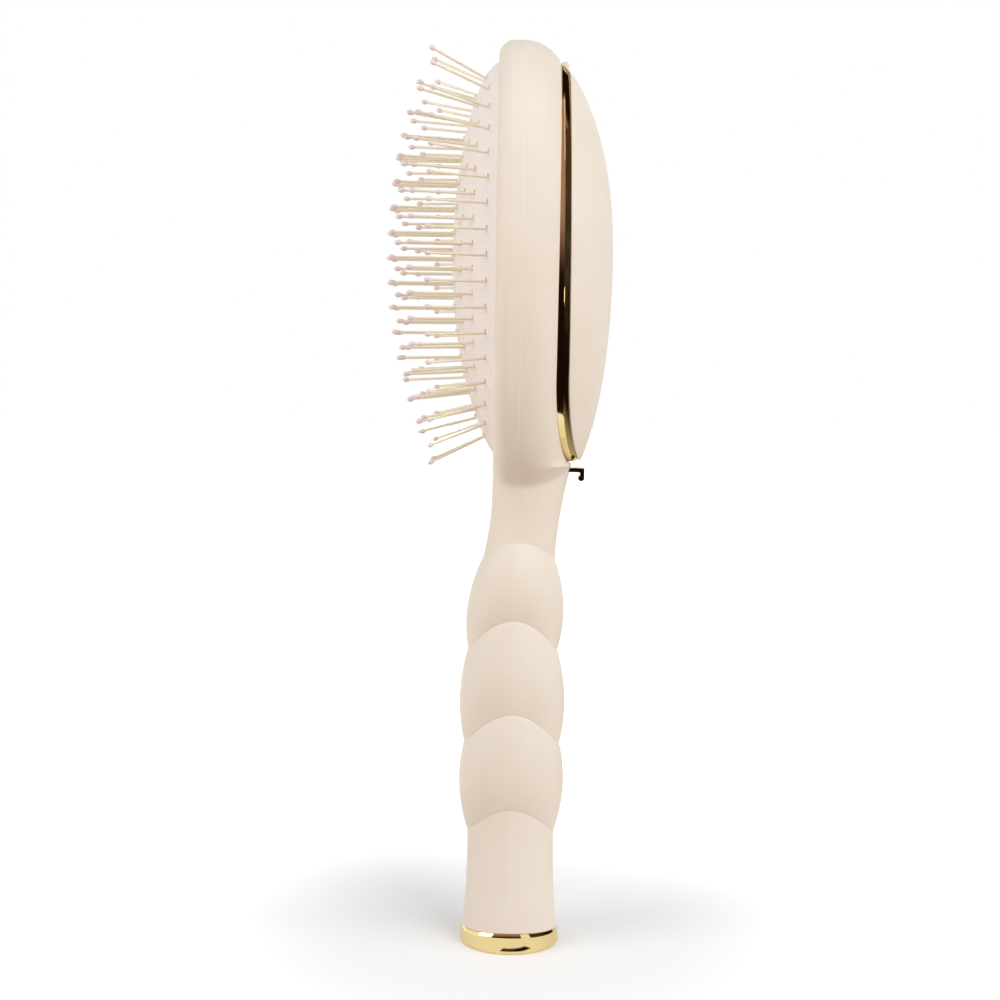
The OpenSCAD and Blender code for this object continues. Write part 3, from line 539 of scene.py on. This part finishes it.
def makeTips(k):
    # One teardrop for each pin: a radius along the pin's own direction, turned about it. The radius is
    # the wire's, closing at the end, plus a bulge on a sine that is fullest past the middle.
    d = tipDims
    foot, way = pinFrames(ringPlaces(k))
    side = np.cross(way, [0, 1, 0])
    side /= np.linalg.norm(side, axis=1, keepdims=True)
    other = np.cross(way, side)
    t = np.linspace(0, 1, d["rows"])
    along = d["length"] - d["tail"] * (1 - t)
    bulge = np.sin(math.pi * t ** d["early"]) ** d["full"]
    radius = mix(d["wire"] / 2, 0, t) * (1 - t) ** d["close"] + bulge * (d["ball"] / 2 - d["skin"])
    radius[-1] = 0
    a = np.linspace(0, 2 * math.pi, d["sides"], endpoint=False)
    circle = np.cos(a)[:, None, None] * side[None] + np.sin(a)[:, None, None] * other[None]
    along, radius = along[:, None, None, None], radius[:, None, None, None]
    pts = foot[None, None] + along * way[None, None] + radius * circle[None]
    grids = [(pts[:, :, i], False, True) for i in range(len(foot))]
    return meshObject("pinTips%d" % (k + 1), *joinGrids(grids), "pin_bed", sharp=60, merge=0.001)


hookDims = dict(faceX=13.77, z=125.76, reach=3.6, thick=1.2, wide=6.0, drop=3.5, bend=0.35, bead=0.84,
                beadTurn=1.28, heel=0.55, seat=1.0)


def makeHook():
    # An outline in X and Z carried along Y: a bar out of the neck, a quarter circle of radius bend at
    # its corner, and a circle of radius bead at its hanging end. The first and last rows are drawn in
    # along the normals.
    h = hookDims
    out, root = h["faceX"] + h["reach"], h["faceX"] - h["seat"]
    inner, top = out - h["thick"], h["z"] + h["thick"] / 2
    low = top - h["drop"] + h["bead"]
    turn = np.linspace(0, math.pi / 2, 7)
    corner = np.stack([out - h["bend"] + h["bend"] * np.sin(turn),
                       top - h["bend"] + h["bend"] * np.cos(turn)], -1)
    turn = np.linspace(0, math.pi * h["beadTurn"], 22)
    foot = np.stack([out - h["bead"] + h["bead"] * np.cos(turn), low - h["bead"] * np.sin(turn)], -1)
    p = np.array([[root, top], *corner, *foot, [inner, low + h["heel"] * h["bead"]],
                  [inner, top - h["thick"]], [root, top - h["thick"]]])
    step = np.roll(p, -1, 0) - np.roll(p, 1, 0)
    length = np.linalg.norm(step, axis=1, keepdims=True).clip(1e-6)
    normal = np.stack([-step[:, 1], step[:, 0]], -1) / length
    rows = []
    for share, drawn in ((-0.5, 0.12), (-0.485, 0.05), (-0.46, 0.0),
                         (0.46, 0.0), (0.485, 0.05), (0.5, 0.12)):
        q = p - normal * drawn
        rows.append(np.stack([q[:, 0], 0 * q[:, 0] + share * h["wide"], q[:, 1]], -1))
    verts, faces = joinGrids([(np.stack(rows, 0), False, True)])
    made = meshObject("neckHook", verts, faces, "body", sharp=45, merge=0.0005)
    work = bmesh.new()
    work.from_mesh(made.data)
    bmesh.ops.holes_fill(work, edges=[e for e in work.edges if e.is_boundary])
    bmesh.ops.recalc_face_normals(work, faces=work.faces)
    work.to_mesh(made.data)
    work.free()
    made.data.set_sharp_from_angle(angle=math.radians(45))
    return made


baseDims = dict(r=13.15, height=4.35, arch=1.144, bandDraw=0.3, bandTop=3.6, draw=0.55, soft=0.12,
                bandSoft=0.06, ease=0.8, lip=0.28, bore=11.4, innerR=8.9, deep=2.2, mouth=0.3, steps=256)


def makeBaseRing():
    # The cap's profile turned about Z: rounded foot, nearly upright band, steeper shoulder, bevel, then
    # the inside. Above the foot its height grows by the arch times the sine of the turn squared, as the
    # shells' foot does.
    d = baseDims
    top, face = d["height"], d["r"] - d["draw"]
    a = np.linspace(0, math.pi / 2, 8)
    foot = np.stack([d["r"] - d["ease"] + d["ease"] * np.sin(a), d["ease"] - d["ease"] * np.cos(a)], -1)
    bandFoot, shoulder = np.array([d["r"], d["ease"]]), np.array([d["r"] - d["bandDraw"], d["bandTop"]])
    lipAt = np.array([face, top - d["lip"]])
    upright = mix(bandFoot, shoulder, np.array([[d["bandSoft"]], [1 - d["bandSoft"]]]))
    slope = mix(shoulder, lipAt, np.array([[d["soft"]], [1 - d["soft"]]]))
    prof = np.array([*foot, *upright, *slope, [face - 0.08, top - 0.1], [face - d["lip"], top],
                     [d["innerR"], top], [d["innerR"], d["deep"]], [d["bore"], d["deep"]],
                     [d["bore"], d["mouth"]], [d["bore"] + d["mouth"], 0.0]])
    radius, height = prof[:, None, 0], prof[:, None, 1]
    t = np.linspace(0, 2 * math.pi, d["steps"], endpoint=False)[None, :]
    inside = (radius < face - d["draw"]) & (height < top - 0.01)
    share = np.where(inside, 0, clip01((height - d["ease"]) / (top - d["lip"] - d["ease"])))
    rise = share * d["arch"] * np.sin(t) ** 2
    pts = np.stack([radius * np.cos(t), radius * np.sin(t), height + rise], -1)
    return meshObject("baseRing", *joinGrids([(pts, True, True)]), "body", sharp=24, merge=0.0005)


print("shells and cushion")
frontShell = makeShell("frontShell", True, frontMouth)
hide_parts("front_shell")
backShell = makeShell("backShell", False, trayMouth)
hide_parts("back_shell")
pad = makeCushion()
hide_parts("cushion_pad")
print("ring, lid and hinge")
trimRing = makeTrimRing()
ears = makeEars()
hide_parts("trim_ring")
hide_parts("back_shell")
backLid = makeLid()
lidKnuckle = makeLidKnuckle()
lidBoss = makeLidBoss()
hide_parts("lid")
print("hook, base ring and tips")
neckHook = makeHook()
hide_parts("hook")
baseRing = makeBaseRing()
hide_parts("base_ring")
tips = []
for k in range(pinDims["rings"]):
    tips.append(makeTips(k))
    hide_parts("pin_tips_%d" % (k + 1))


# Node groups

def newGroup(name, inputs, outputs):
    # An empty node group with named float or colour sockets.
    group = bpy.data.node_groups.new(name, "ShaderNodeTree")
    for label, kind, value in inputs:
        made = group.interface.new_socket(name=label, in_out="INPUT", socket_type=kind)
        made.default_value = value
    for label, kind in outputs:
        group.interface.new_socket(name=label, in_out="OUTPUT", socket_type=kind)
    return group, group.nodes.new("NodeGroupInput"), group.nodes.new("NodeGroupOutput")


def feed(tree, node, **values):
    # Fills sockets by name, an underscore for each blank: outputs are linked, other values are set.
    for label, value in values.items():
        socket = node.inputs[label.replace("_", " ")]
        if hasattr(value, "is_output"):
            tree.links.new(value, socket)
        else:
            socket.default_value = value


def objectPoint(tree):
    return tree.nodes.new("ShaderNodeTexCoord").outputs["Object"]


def splitPoint(tree, vector):
    split = tree.nodes.new("ShaderNodeSeparateXYZ")
    tree.links.new(vector, split.inputs[0])
    return split.outputs


def mathNode(tree, kind, a, b=None):
    node = tree.nodes.new("ShaderNodeMath")
    node.operation = kind
    for spot, value in enumerate((a, b)):
        if hasattr(value, "is_output"):
            tree.links.new(value, node.inputs[spot])
        elif value is not None:
            node.inputs[spot].default_value = value
    return node.outputs[0]


def noiseNode(tree, vector, scale, detail=2.0, rough=0.5):
    node = tree.nodes.new("ShaderNodeTexNoise")
    feed(tree, node, Vector=vector, Scale=scale, Detail=detail, Roughness=rough)
    return node.outputs["Fac"]


def mapRange(tree, value, low, high, toLow=0.0, toHigh=1.0):
    # Takes low to high over to toLow to toHigh on an S curve.
    node = tree.nodes.new("ShaderNodeMapRange")
    node.interpolation_type = "SMOOTHSTEP"
    feed(tree, node, Value=value, From_Min=low, From_Max=high, To_Min=toLow, To_Max=toHigh)
    return node.outputs["Result"]


# Broad tone under the grain, and handling smears with marks stretched along Z: noise scales per metre
grainShape = dict(toneScale=55.0, toneFrom=0.3, toneTo=0.7)
polishShape = dict(stretch=(1.0, 1.0, 0.12), smearScale=120.0, smearFrom=0.45, smearTo=0.75)


def buildGrainGroup():
    # Moulded grain: fine noise for height, a broad slow noise for tone.
    f, g = "NodeSocketFloat", grainShape
    group, gi, go = newGroup("mouldedGrain", [("Scale", f, 3000.0), ("Depth", f, 1.0)],
                             [("Height", f), ("Tone", f)])
    coord = objectPoint(group)
    fine = noiseNode(group, coord, gi.outputs["Scale"], 3.0, 0.6)
    broad = noiseNode(group, coord, g["toneScale"])
    group.links.new(mathNode(group, "MULTIPLY", fine, gi.outputs["Depth"]), go.inputs["Height"])
    group.links.new(mapRange(group, broad, g["toneFrom"], g["toneTo"]), go.inputs["Tone"])
    return group


def buildPolishGroup():
    # Polishing marks: stretched noise for height and a soft mask for handling smears.
    f, p = "NodeSocketFloat", polishShape
    group, gi, go = newGroup("polishMarks", [("Scale", f, 900.0), ("Smear", f, 0.5)],
                             [("Height", f), ("Mask", f)])
    coord = objectPoint(group)
    stretch = group.nodes.new("ShaderNodeMapping")
    feed(group, stretch, Vector=coord, Scale=p["stretch"])
    fine = noiseNode(group, stretch.outputs["Vector"], gi.outputs["Scale"], 4.0, 0.6)
    smear = mapRange(group, noiseNode(group, coord, p["smearScale"]), p["smearFrom"], p["smearTo"])
    group.links.new(fine, go.inputs["Height"])
    group.links.new(mathNode(group, "MULTIPLY", smear, gi.outputs["Smear"]), go.inputs["Mask"])
    return group


grainGroup = buildGrainGroup()
polishGroup = buildPolishGroup()


def srgb(r, g, b):
    # A screen colour of 0 to 255 as the linear values that Blender takes.
    v = np.array([r, g, b]) / 255.0
    return tuple(np.where(v <= 0.04045, v / 12.92, ((v + 0.055) / 1.055) ** 2.4)) + (1.0,)


def newMaterial(name):
    # A material with its node tree and its Principled shader.
    made = bpy.data.materials.new(name)
    made.use_nodes = True
    return made, made.node_tree, made.node_tree.nodes["Principled BSDF"]


def placeGroup(tree, group, **values):
    node = tree.nodes.new("ShaderNodeGroup")
    node.node_tree = group
    feed(tree, node, **values)
    return node


def mixColour(tree, mask, a, b):
    node = tree.nodes.new("ShaderNodeMix")
    node.data_type = "RGBA"
    feed(tree, node, Factor=mask, A=a, B=b)
    return node.outputs["Result"]


def addBump(tree, shader, height, strength, distance):
    bump = tree.nodes.new("ShaderNodeBump")
    feed(tree, bump, Strength=strength, Distance=distance, Height=height)
    feed(tree, shader, Normal=bump.outputs["Normal"])


# line: a paler cream, a painted highlight along the shells' parting seam
creamLook = dict(light=srgb(240, 229, 215), deep=srgb(237, 225, 210), line=srgb(246, 238, 227),
                 roughFrom=0.47, roughTo=0.58, specular=0.35, sheen=0.08, bump=0.35,
                 grainScale=2600.0, grainDepth=0.00003, lineHalf=0.00009,
                 fadeFrom=0.075, fadeTo=0.135, lineLow=0.15, lineHigh=0.7)


def creamMaterial(name, withSeamHighlight):
    # Satin cream. The shells have a faint painted highlight along the seam where they part, at X = 0,
    # fainter down the handle.
    c = creamLook
    made, tree, shader = newMaterial(name)
    grain = placeGroup(tree, grainGroup, Scale=c["grainScale"], Depth=1.0)
    colour = mixColour(tree, grain.outputs["Tone"], c["light"], c["deep"])
    if withSeamHighlight:
        at = splitPoint(tree, objectPoint(tree))
        # Painted highlight: paler within a hair of X = 0, fading down the handle
        away = mathNode(tree, "ABSOLUTE", at["X"])
        across = mapRange(tree, away, c["lineHalf"] * 0.6, c["lineHalf"] * 1.6, 1.0, 0.0)
        fade = mapRange(tree, at["Z"], c["fadeFrom"], c["fadeTo"], c["lineLow"], c["lineHigh"])
        colour = mixColour(tree, mathNode(tree, "MULTIPLY", across, fade), colour, c["line"])
    rough = mapRange(tree, grain.outputs["Height"], 0.2, 0.8, c["roughFrom"], c["roughTo"])
    feed(tree, shader, Base_Color=colour, Roughness=rough, Specular_IOR_Level=c["specular"],
         Sheen_Weight=c["sheen"])
    addBump(tree, shader, grain.outputs["Height"], c["bump"], c["grainDepth"])
    return made


goldLook = dict(base=srgb(240, 218, 158), smear=srgb(234, 208, 142), roughFrom=0.07, roughTo=0.15,
                markScale=900.0, smearShare=0.6, markDepth=0.000004, bump=0.12)


def goldMaterial(name):
    # Polished gold plate with faint marks along it.
    g = goldLook
    made, tree, shader = newMaterial(name)
    marks = placeGroup(tree, polishGroup, Scale=g["markScale"], Smear=g["smearShare"])
    feed(tree, shader, Base_Color=mixColour(tree, marks.outputs["Mask"], g["base"], g["smear"]),
         Roughness=mapRange(tree, marks.outputs["Mask"], 0.0, 1.0, g["roughFrom"], g["roughTo"]),
         Metallic=1.0)
    addBump(tree, shader, marks.outputs["Height"], g["bump"], g["markDepth"])
    return made


# The rubber's two tones: deep is painted shade in the rib valleys, light is the lit rib tops
padLook = dict(light=srgb(250, 243, 239), deep=srgb(246, 237, 232), roughFrom=0.62, roughTo=0.7,
               specular=0.3, ribPitch=0.65, crossShare=0.35, ribDepth=0.00003, bump=0.3,
               grainScale=2200.0, grainShare=0.4)


def padMaterial(name):
    # Fine ribs across the rubber: a sine of height, with a fainter one across it. The colour carries
    # painted shade, deeper in the valleys between ribs and lighter on their tops.
    p = padLook
    made, tree, shader = newMaterial(name)
    at = splitPoint(tree, objectPoint(tree))
    turn = 2 * math.pi / (p["ribPitch"] * mm)
    ribs = mathNode(tree, "SINE", mathNode(tree, "MULTIPLY", at["Z"], turn))
    cross = mathNode(tree, "SINE", mathNode(tree, "MULTIPLY", at["Y"], turn))
    height = mathNode(tree, "ADD", ribs, mathNode(tree, "MULTIPLY", cross, p["crossShare"]))
    grain = placeGroup(tree, grainGroup, Scale=p["grainScale"], Depth=p["grainShare"])
    # Painted shade: the colour follows the rib height, darker in the valleys
    ribTopLight = mapRange(tree, height, -1.0, 0.8)
    feed(tree, shader, Base_Color=mixColour(tree, ribTopLight, p["deep"], p["light"]),
         Roughness=mapRange(tree, grain.outputs["Tone"], 0.0, 1.0, p["roughFrom"], p["roughTo"]),
         Specular_IOR_Level=p["specular"])
    addBump(tree, shader, mathNode(tree, "ADD", height, grain.outputs["Height"]), p["bump"], p["ribDepth"])
    return made


# The plain finishes: two close tones, roughness, how fine the grain is, and how far it is metal
plainLooks = dict(
    paleGoldWire=(srgb(247, 238, 214), srgb(243, 231, 204), 0.36, 500.0, 0.08),
    blushTip=(srgb(243, 228, 227), srgb(236, 215, 215), 0.2, 1500.0, 0.0),
    whitePlastic=(srgb(236, 232, 224), srgb(228, 222, 212), 0.45, 1800.0, 0.0),
    nickelPlate=(srgb(190, 190, 194), srgb(170, 170, 176), 0.25, 1200.0, 1.0),
    footRubber=(srgb(150, 138, 122), srgb(132, 120, 106), 0.7, 1400.0, 0.0))
plainGrain = dict(share=0.8, roughMore=0.06, bump=0.2, depth=0.00002)


def plainMaterial(name):
    light, deep, rough, scale, metal = plainLooks[name]
    g = plainGrain
    made, tree, shader = newMaterial(name)
    grain = placeGroup(tree, grainGroup, Scale=scale, Depth=g["share"])
    feed(tree, shader, Base_Color=mixColour(tree, grain.outputs["Tone"], light, deep), Metallic=metal,
         Roughness=mapRange(tree, grain.outputs["Height"], 0.2, 0.8, rough, rough + g["roughMore"]))
    addBump(tree, shader, grain.outputs["Height"], g["bump"], g["depth"])
    return made


print("materials")
creamShell, creamPlain = creamMaterial("creamShell", True), creamMaterial("creamLid", False)
gold = goldMaterial("polishedGold")
wire = plainMaterial("paleGoldWire")
padRubber = padMaterial("ribbedRubber")
tipGloss, whitePlastic, nickel, footRubber = (
    plainMaterial(name) for name in ("blushTip", "whitePlastic", "nickelPlate", "footRubber"))


def dress(obj, material):
    # A new piece takes the material as its only one.
    obj.data.materials.clear()
    obj.data.materials.append(material)


def dressNode(name, material):
    # A carried-over node keeps its mesh and takes the material in each of its slots.
    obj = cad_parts[name]
    if not obj.material_slots:
        obj.data.materials.append(material)
    for spot in obj.material_slots:
        spot.material = material


for piece, material, slot in (
        (frontShell, creamShell, "cream_shell"), (backShell, creamShell, "cream_shell"),
        (backLid, creamPlain, "cream_lid"), (lidKnuckle, creamPlain, "cream_lid"),
        (lidBoss, creamPlain, "cream_lid"), (pad, padRubber, "blush_rubber"),
        (trimRing, gold, "polished_gold"), (ears, creamPlain, "cream_shell"),
        (neckHook, gold, "polished_gold"), (baseRing, gold, "polished_gold")):
    dress(piece, material)
for piece in tips:
    dress(piece, tipGloss)
for k in range(1, pinDims["rings"] + 1):
    dressNode("pins_%d" % k, wire)
for name, material in (("backing_plate", whitePlastic), ("hinge_pin", creamPlain), ("lid_magnet", nickel),
                       ("ring_magnet", nickel), ("compartment_tray", creamPlain), ("hook_nut", nickel),
                       ("base_plug", whitePlastic), ("base_foot", footRubber)):
    dressNode(name, material)


def flatMesh(name, corners):
    mesh = bpy.data.meshes.new(name)
    mesh.from_pydata(corners, [], [(0, 1, 2, 3)])
    return mesh


# Fitted to the brush's outline in the photograph: place in millimetres, degrees, focal length in pixels
view = dict(place=(-4.393, -440.0, 156.43), pitch=5.065, roll=1.0, focal=1692.0,
            sensor=36.0, frameWidth=1000.0)


def makeCamera():
    # Looks along +Y, pitched down, then rolled about its own line of sight.
    v = view
    p, r = math.radians(v["pitch"]), math.radians(v["roll"])
    ahead = np.array([0, math.cos(p), -math.sin(p)])
    up, right = np.array([0, math.sin(p), math.cos(p)]), np.array([1.0, 0, 0])
    data = bpy.data.cameras.new("photoView")
    data.sensor_width = v["sensor"]
    data.lens = v["sensor"] * v["focal"] / v["frameWidth"]
    data.clip_start, data.clip_end = 0.01, 30.0
    cam = link("photoView", data)
    rows = np.eye(4)
    rows[:3, 0] = math.cos(r) * right + math.sin(r) * up
    rows[:3, 1] = math.cos(r) * up - math.sin(r) * right
    rows[:3, 2] = -ahead
    rows[:3, 3] = np.array(v["place"]) * mm
    cam.matrix_world = Matrix(rows.tolist())
    bpy.context.scene.camera = cam


# The floor: half its width in metres, its colour, and its glow with the distances between which it grows
ground = dict(half=3.0, colour=(0.96, 0.945, 0.935, 1), glow=0.06, glowNear=0.03, glowFar=0.21)


def makeFloor():
    # A white floor that glows for the camera and the metal only: painted light, which grows with distance
    # until it meets the backdrop and fades the cast shadow away from the base.
    g, h = ground, ground["half"]
    floor = link("floor", flatMesh("floor", [(-h, -h, 0), (h, -h, 0), (h, h, 0), (-h, h, 0)]))
    made, tree, shader = newMaterial("paleFloor")
    path = tree.nodes.new("ShaderNodeLightPath")
    seen = mathNode(tree, "MAXIMUM", path.outputs["Is Camera Ray"], path.outputs["Is Glossy Ray"])
    away = tree.nodes.new("ShaderNodeVectorMath")
    away.operation = "LENGTH"
    tree.links.new(objectPoint(tree), away.inputs[0])
    # Painted light: the glow grows away from the base, so the cast shadow fades out
    glow = mapRange(tree, away.outputs["Value"], g["glowNear"], g["glowFar"], g["glow"], 1.0)
    feed(tree, shader, Base_Color=g["colour"], Roughness=0.9, Specular_IOR_Level=0.0,
         Emission_Color=(1, 1, 1, 1), Emission_Strength=mathNode(tree, "MULTIPLY", glow, seen))
    floor.data.materials.append(made)
    floor.visible_diffuse = False


# Painted reflections for the gold: cards that glow only where reflections see them. Each card lies between
# x, y and z in metres, and shades from one colour to the other between two places along an axis
cardDark, cardBrown = (0.010, 0.004, 0.003, 1), (0.075, 0.038, 0.026, 1)
cardCopper, cardOlive, cardWhite = (0.41, 0.25, 0.26, 1), (0.42, 0.38, 0.34, 1), (0.9, 0.88, 0.86, 1)
cards = dict(
    cardFront=((-0.9, 0.5), (-0.9, -0.9), (0.0, 0.9), cardDark, cardCopper, "Z", 0.12, 0.55),
    cardRight=((0.9, 0.9), (-0.7, 0.7), (0.0, 0.9), cardDark, cardBrown, "Z", 0.3, 0.9),
    cardLeftFloor=((-0.9, -0.03), (-0.9, -0.07), (0.0005, 0.0005), cardDark, cardDark),
    cardRightFloor=((-0.03, 0.9), (-0.9, -0.088), (0.0005, 0.0005), cardDark, cardDark),
    cardFarFloor=((0.08, 0.9), (-0.088, 0.7), (0.0005, 0.0005), cardOlive, cardDark, "X", 0.1, 0.24),
    # A small brown card beside the foot: a painted reflection of the dark contact shadow, low on the base
    # ring
    cardContactShadow=((-0.004, 0.012), (-0.0225, -0.0165), (0.0002, 0.0002), cardBrown, cardDark,
              "X", -0.001, 0.004),
    cardAbove=((-0.9, 0.1), (-0.9, -0.2), (0.9, 0.9), cardCopper, cardCopper),
    cardBehind=((-0.9, 0.9), (-0.2, 0.9), (0.9, 0.9), cardCopper, cardDark, "Y", -0.2, -0.1),
    cardGlow=((0.1, 0.62), (-0.9, -0.35), (0.9, 0.9), cardWhite, cardWhite),
    cardAboveRight=((0.62, 0.9), (-0.9, -0.2), (0.9, 0.9), cardDark, cardDark))


def makeCard(name, x, y, z, first, second, axis="Z", start=0.1, end=0.5):
    # A glowing card that only reflections see, a painted reflection: level, or upright across X or Y.
    if z[0] == z[1]:
        corners = [(x[0], y[0], z[0]), (x[1], y[0], z[0]), (x[1], y[1], z[0]), (x[0], y[1], z[0])]
    else:
        corners = [(x[0], y[0], z[0]), (x[1], y[1], z[0]), (x[1], y[1], z[1]), (x[0], y[0], z[1])]
    card = link(name, flatMesh(name, corners))
    made, tree, shader = newMaterial(name)
    share = mapRange(tree, splitPoint(tree, objectPoint(tree))[axis], start, end)
    feed(tree, shader, Base_Color=(0, 0, 0, 1), Specular_IOR_Level=0.0,
         Emission_Color=mixColour(tree, share, first, second), Emission_Strength=1.0)
    card.data.materials.append(made)
    card.visible_camera = card.visible_diffuse = card.visible_shadow = False
    card.visible_transmission = False


# Square lamps: place and aim in metres, width, watts and colour
lamps = dict(
    keyLamp=dict(place=(0.9, -1.27, 1.6), aim=(0, 0, 0.1), size=0.95, power=13.0, colour=(1, 1, 1)),
    fillLamp=dict(place=(-0.9, -0.5, 0.45), aim=(0, 0, 0.17), size=0.7, power=4.8,
                  colour=(1.0, 0.97, 0.94)),
    rightLamp=dict(place=(1.3, -0.5, 0.4), aim=(0, 0, 0.17), size=0.8, power=7.4, colour=(1, 1, 1)))


def makeLamp(name, place, aim, size, power, colour):
    data = bpy.data.lights.new(name, "AREA")
    data.shape = "RECTANGLE"
    data.size = data.size_y = size
    data.energy = power
    data.color = colour
    lamp = link(name, data)
    lamp.location = place
    lamp.rotation_euler = (Vector(aim) - Vector(place)).to_track_quat("-Z", "Y").to_euler()


# The world as diffuse rays see it
daylight = dict(above=(0.47, 0.505, 0.53, 1), below=(0.56, 0.455, 0.385, 1))


def makeWorld():
    # White where it is seen; for diffuse rays cooler above and warmer below.
    world = bpy.data.worlds.new("studio")
    bpy.context.scene.world = world
    world.use_nodes = True
    tree = world.node_tree
    path = tree.nodes.new("ShaderNodeLightPath")
    seen = mathNode(tree, "MAXIMUM", path.outputs["Is Camera Ray"], path.outputs["Is Glossy Ray"])
    seen = mathNode(tree, "MAXIMUM", seen, path.outputs["Is Transmission Ray"])
    way = splitPoint(tree, tree.nodes.new("ShaderNodeNewGeometry").outputs["Incoming"])
    ambient = mixColour(tree, mapRange(tree, way["Z"], 0.7, -0.7), daylight["below"], daylight["above"])
    feed(tree, tree.nodes["Background"], Color=mixColour(tree, seen, ambient, (1, 1, 1, 1)), Strength=1.0)


print("stage")
makeCamera()
makeFloor()
makeWorld()
for name, lamp in lamps.items():
    makeLamp(name, **lamp)
for name, card in cards.items():
    makeCard(name, *card)
bpy.context.scene.view_settings.view_transform = "Standard"

print("done")
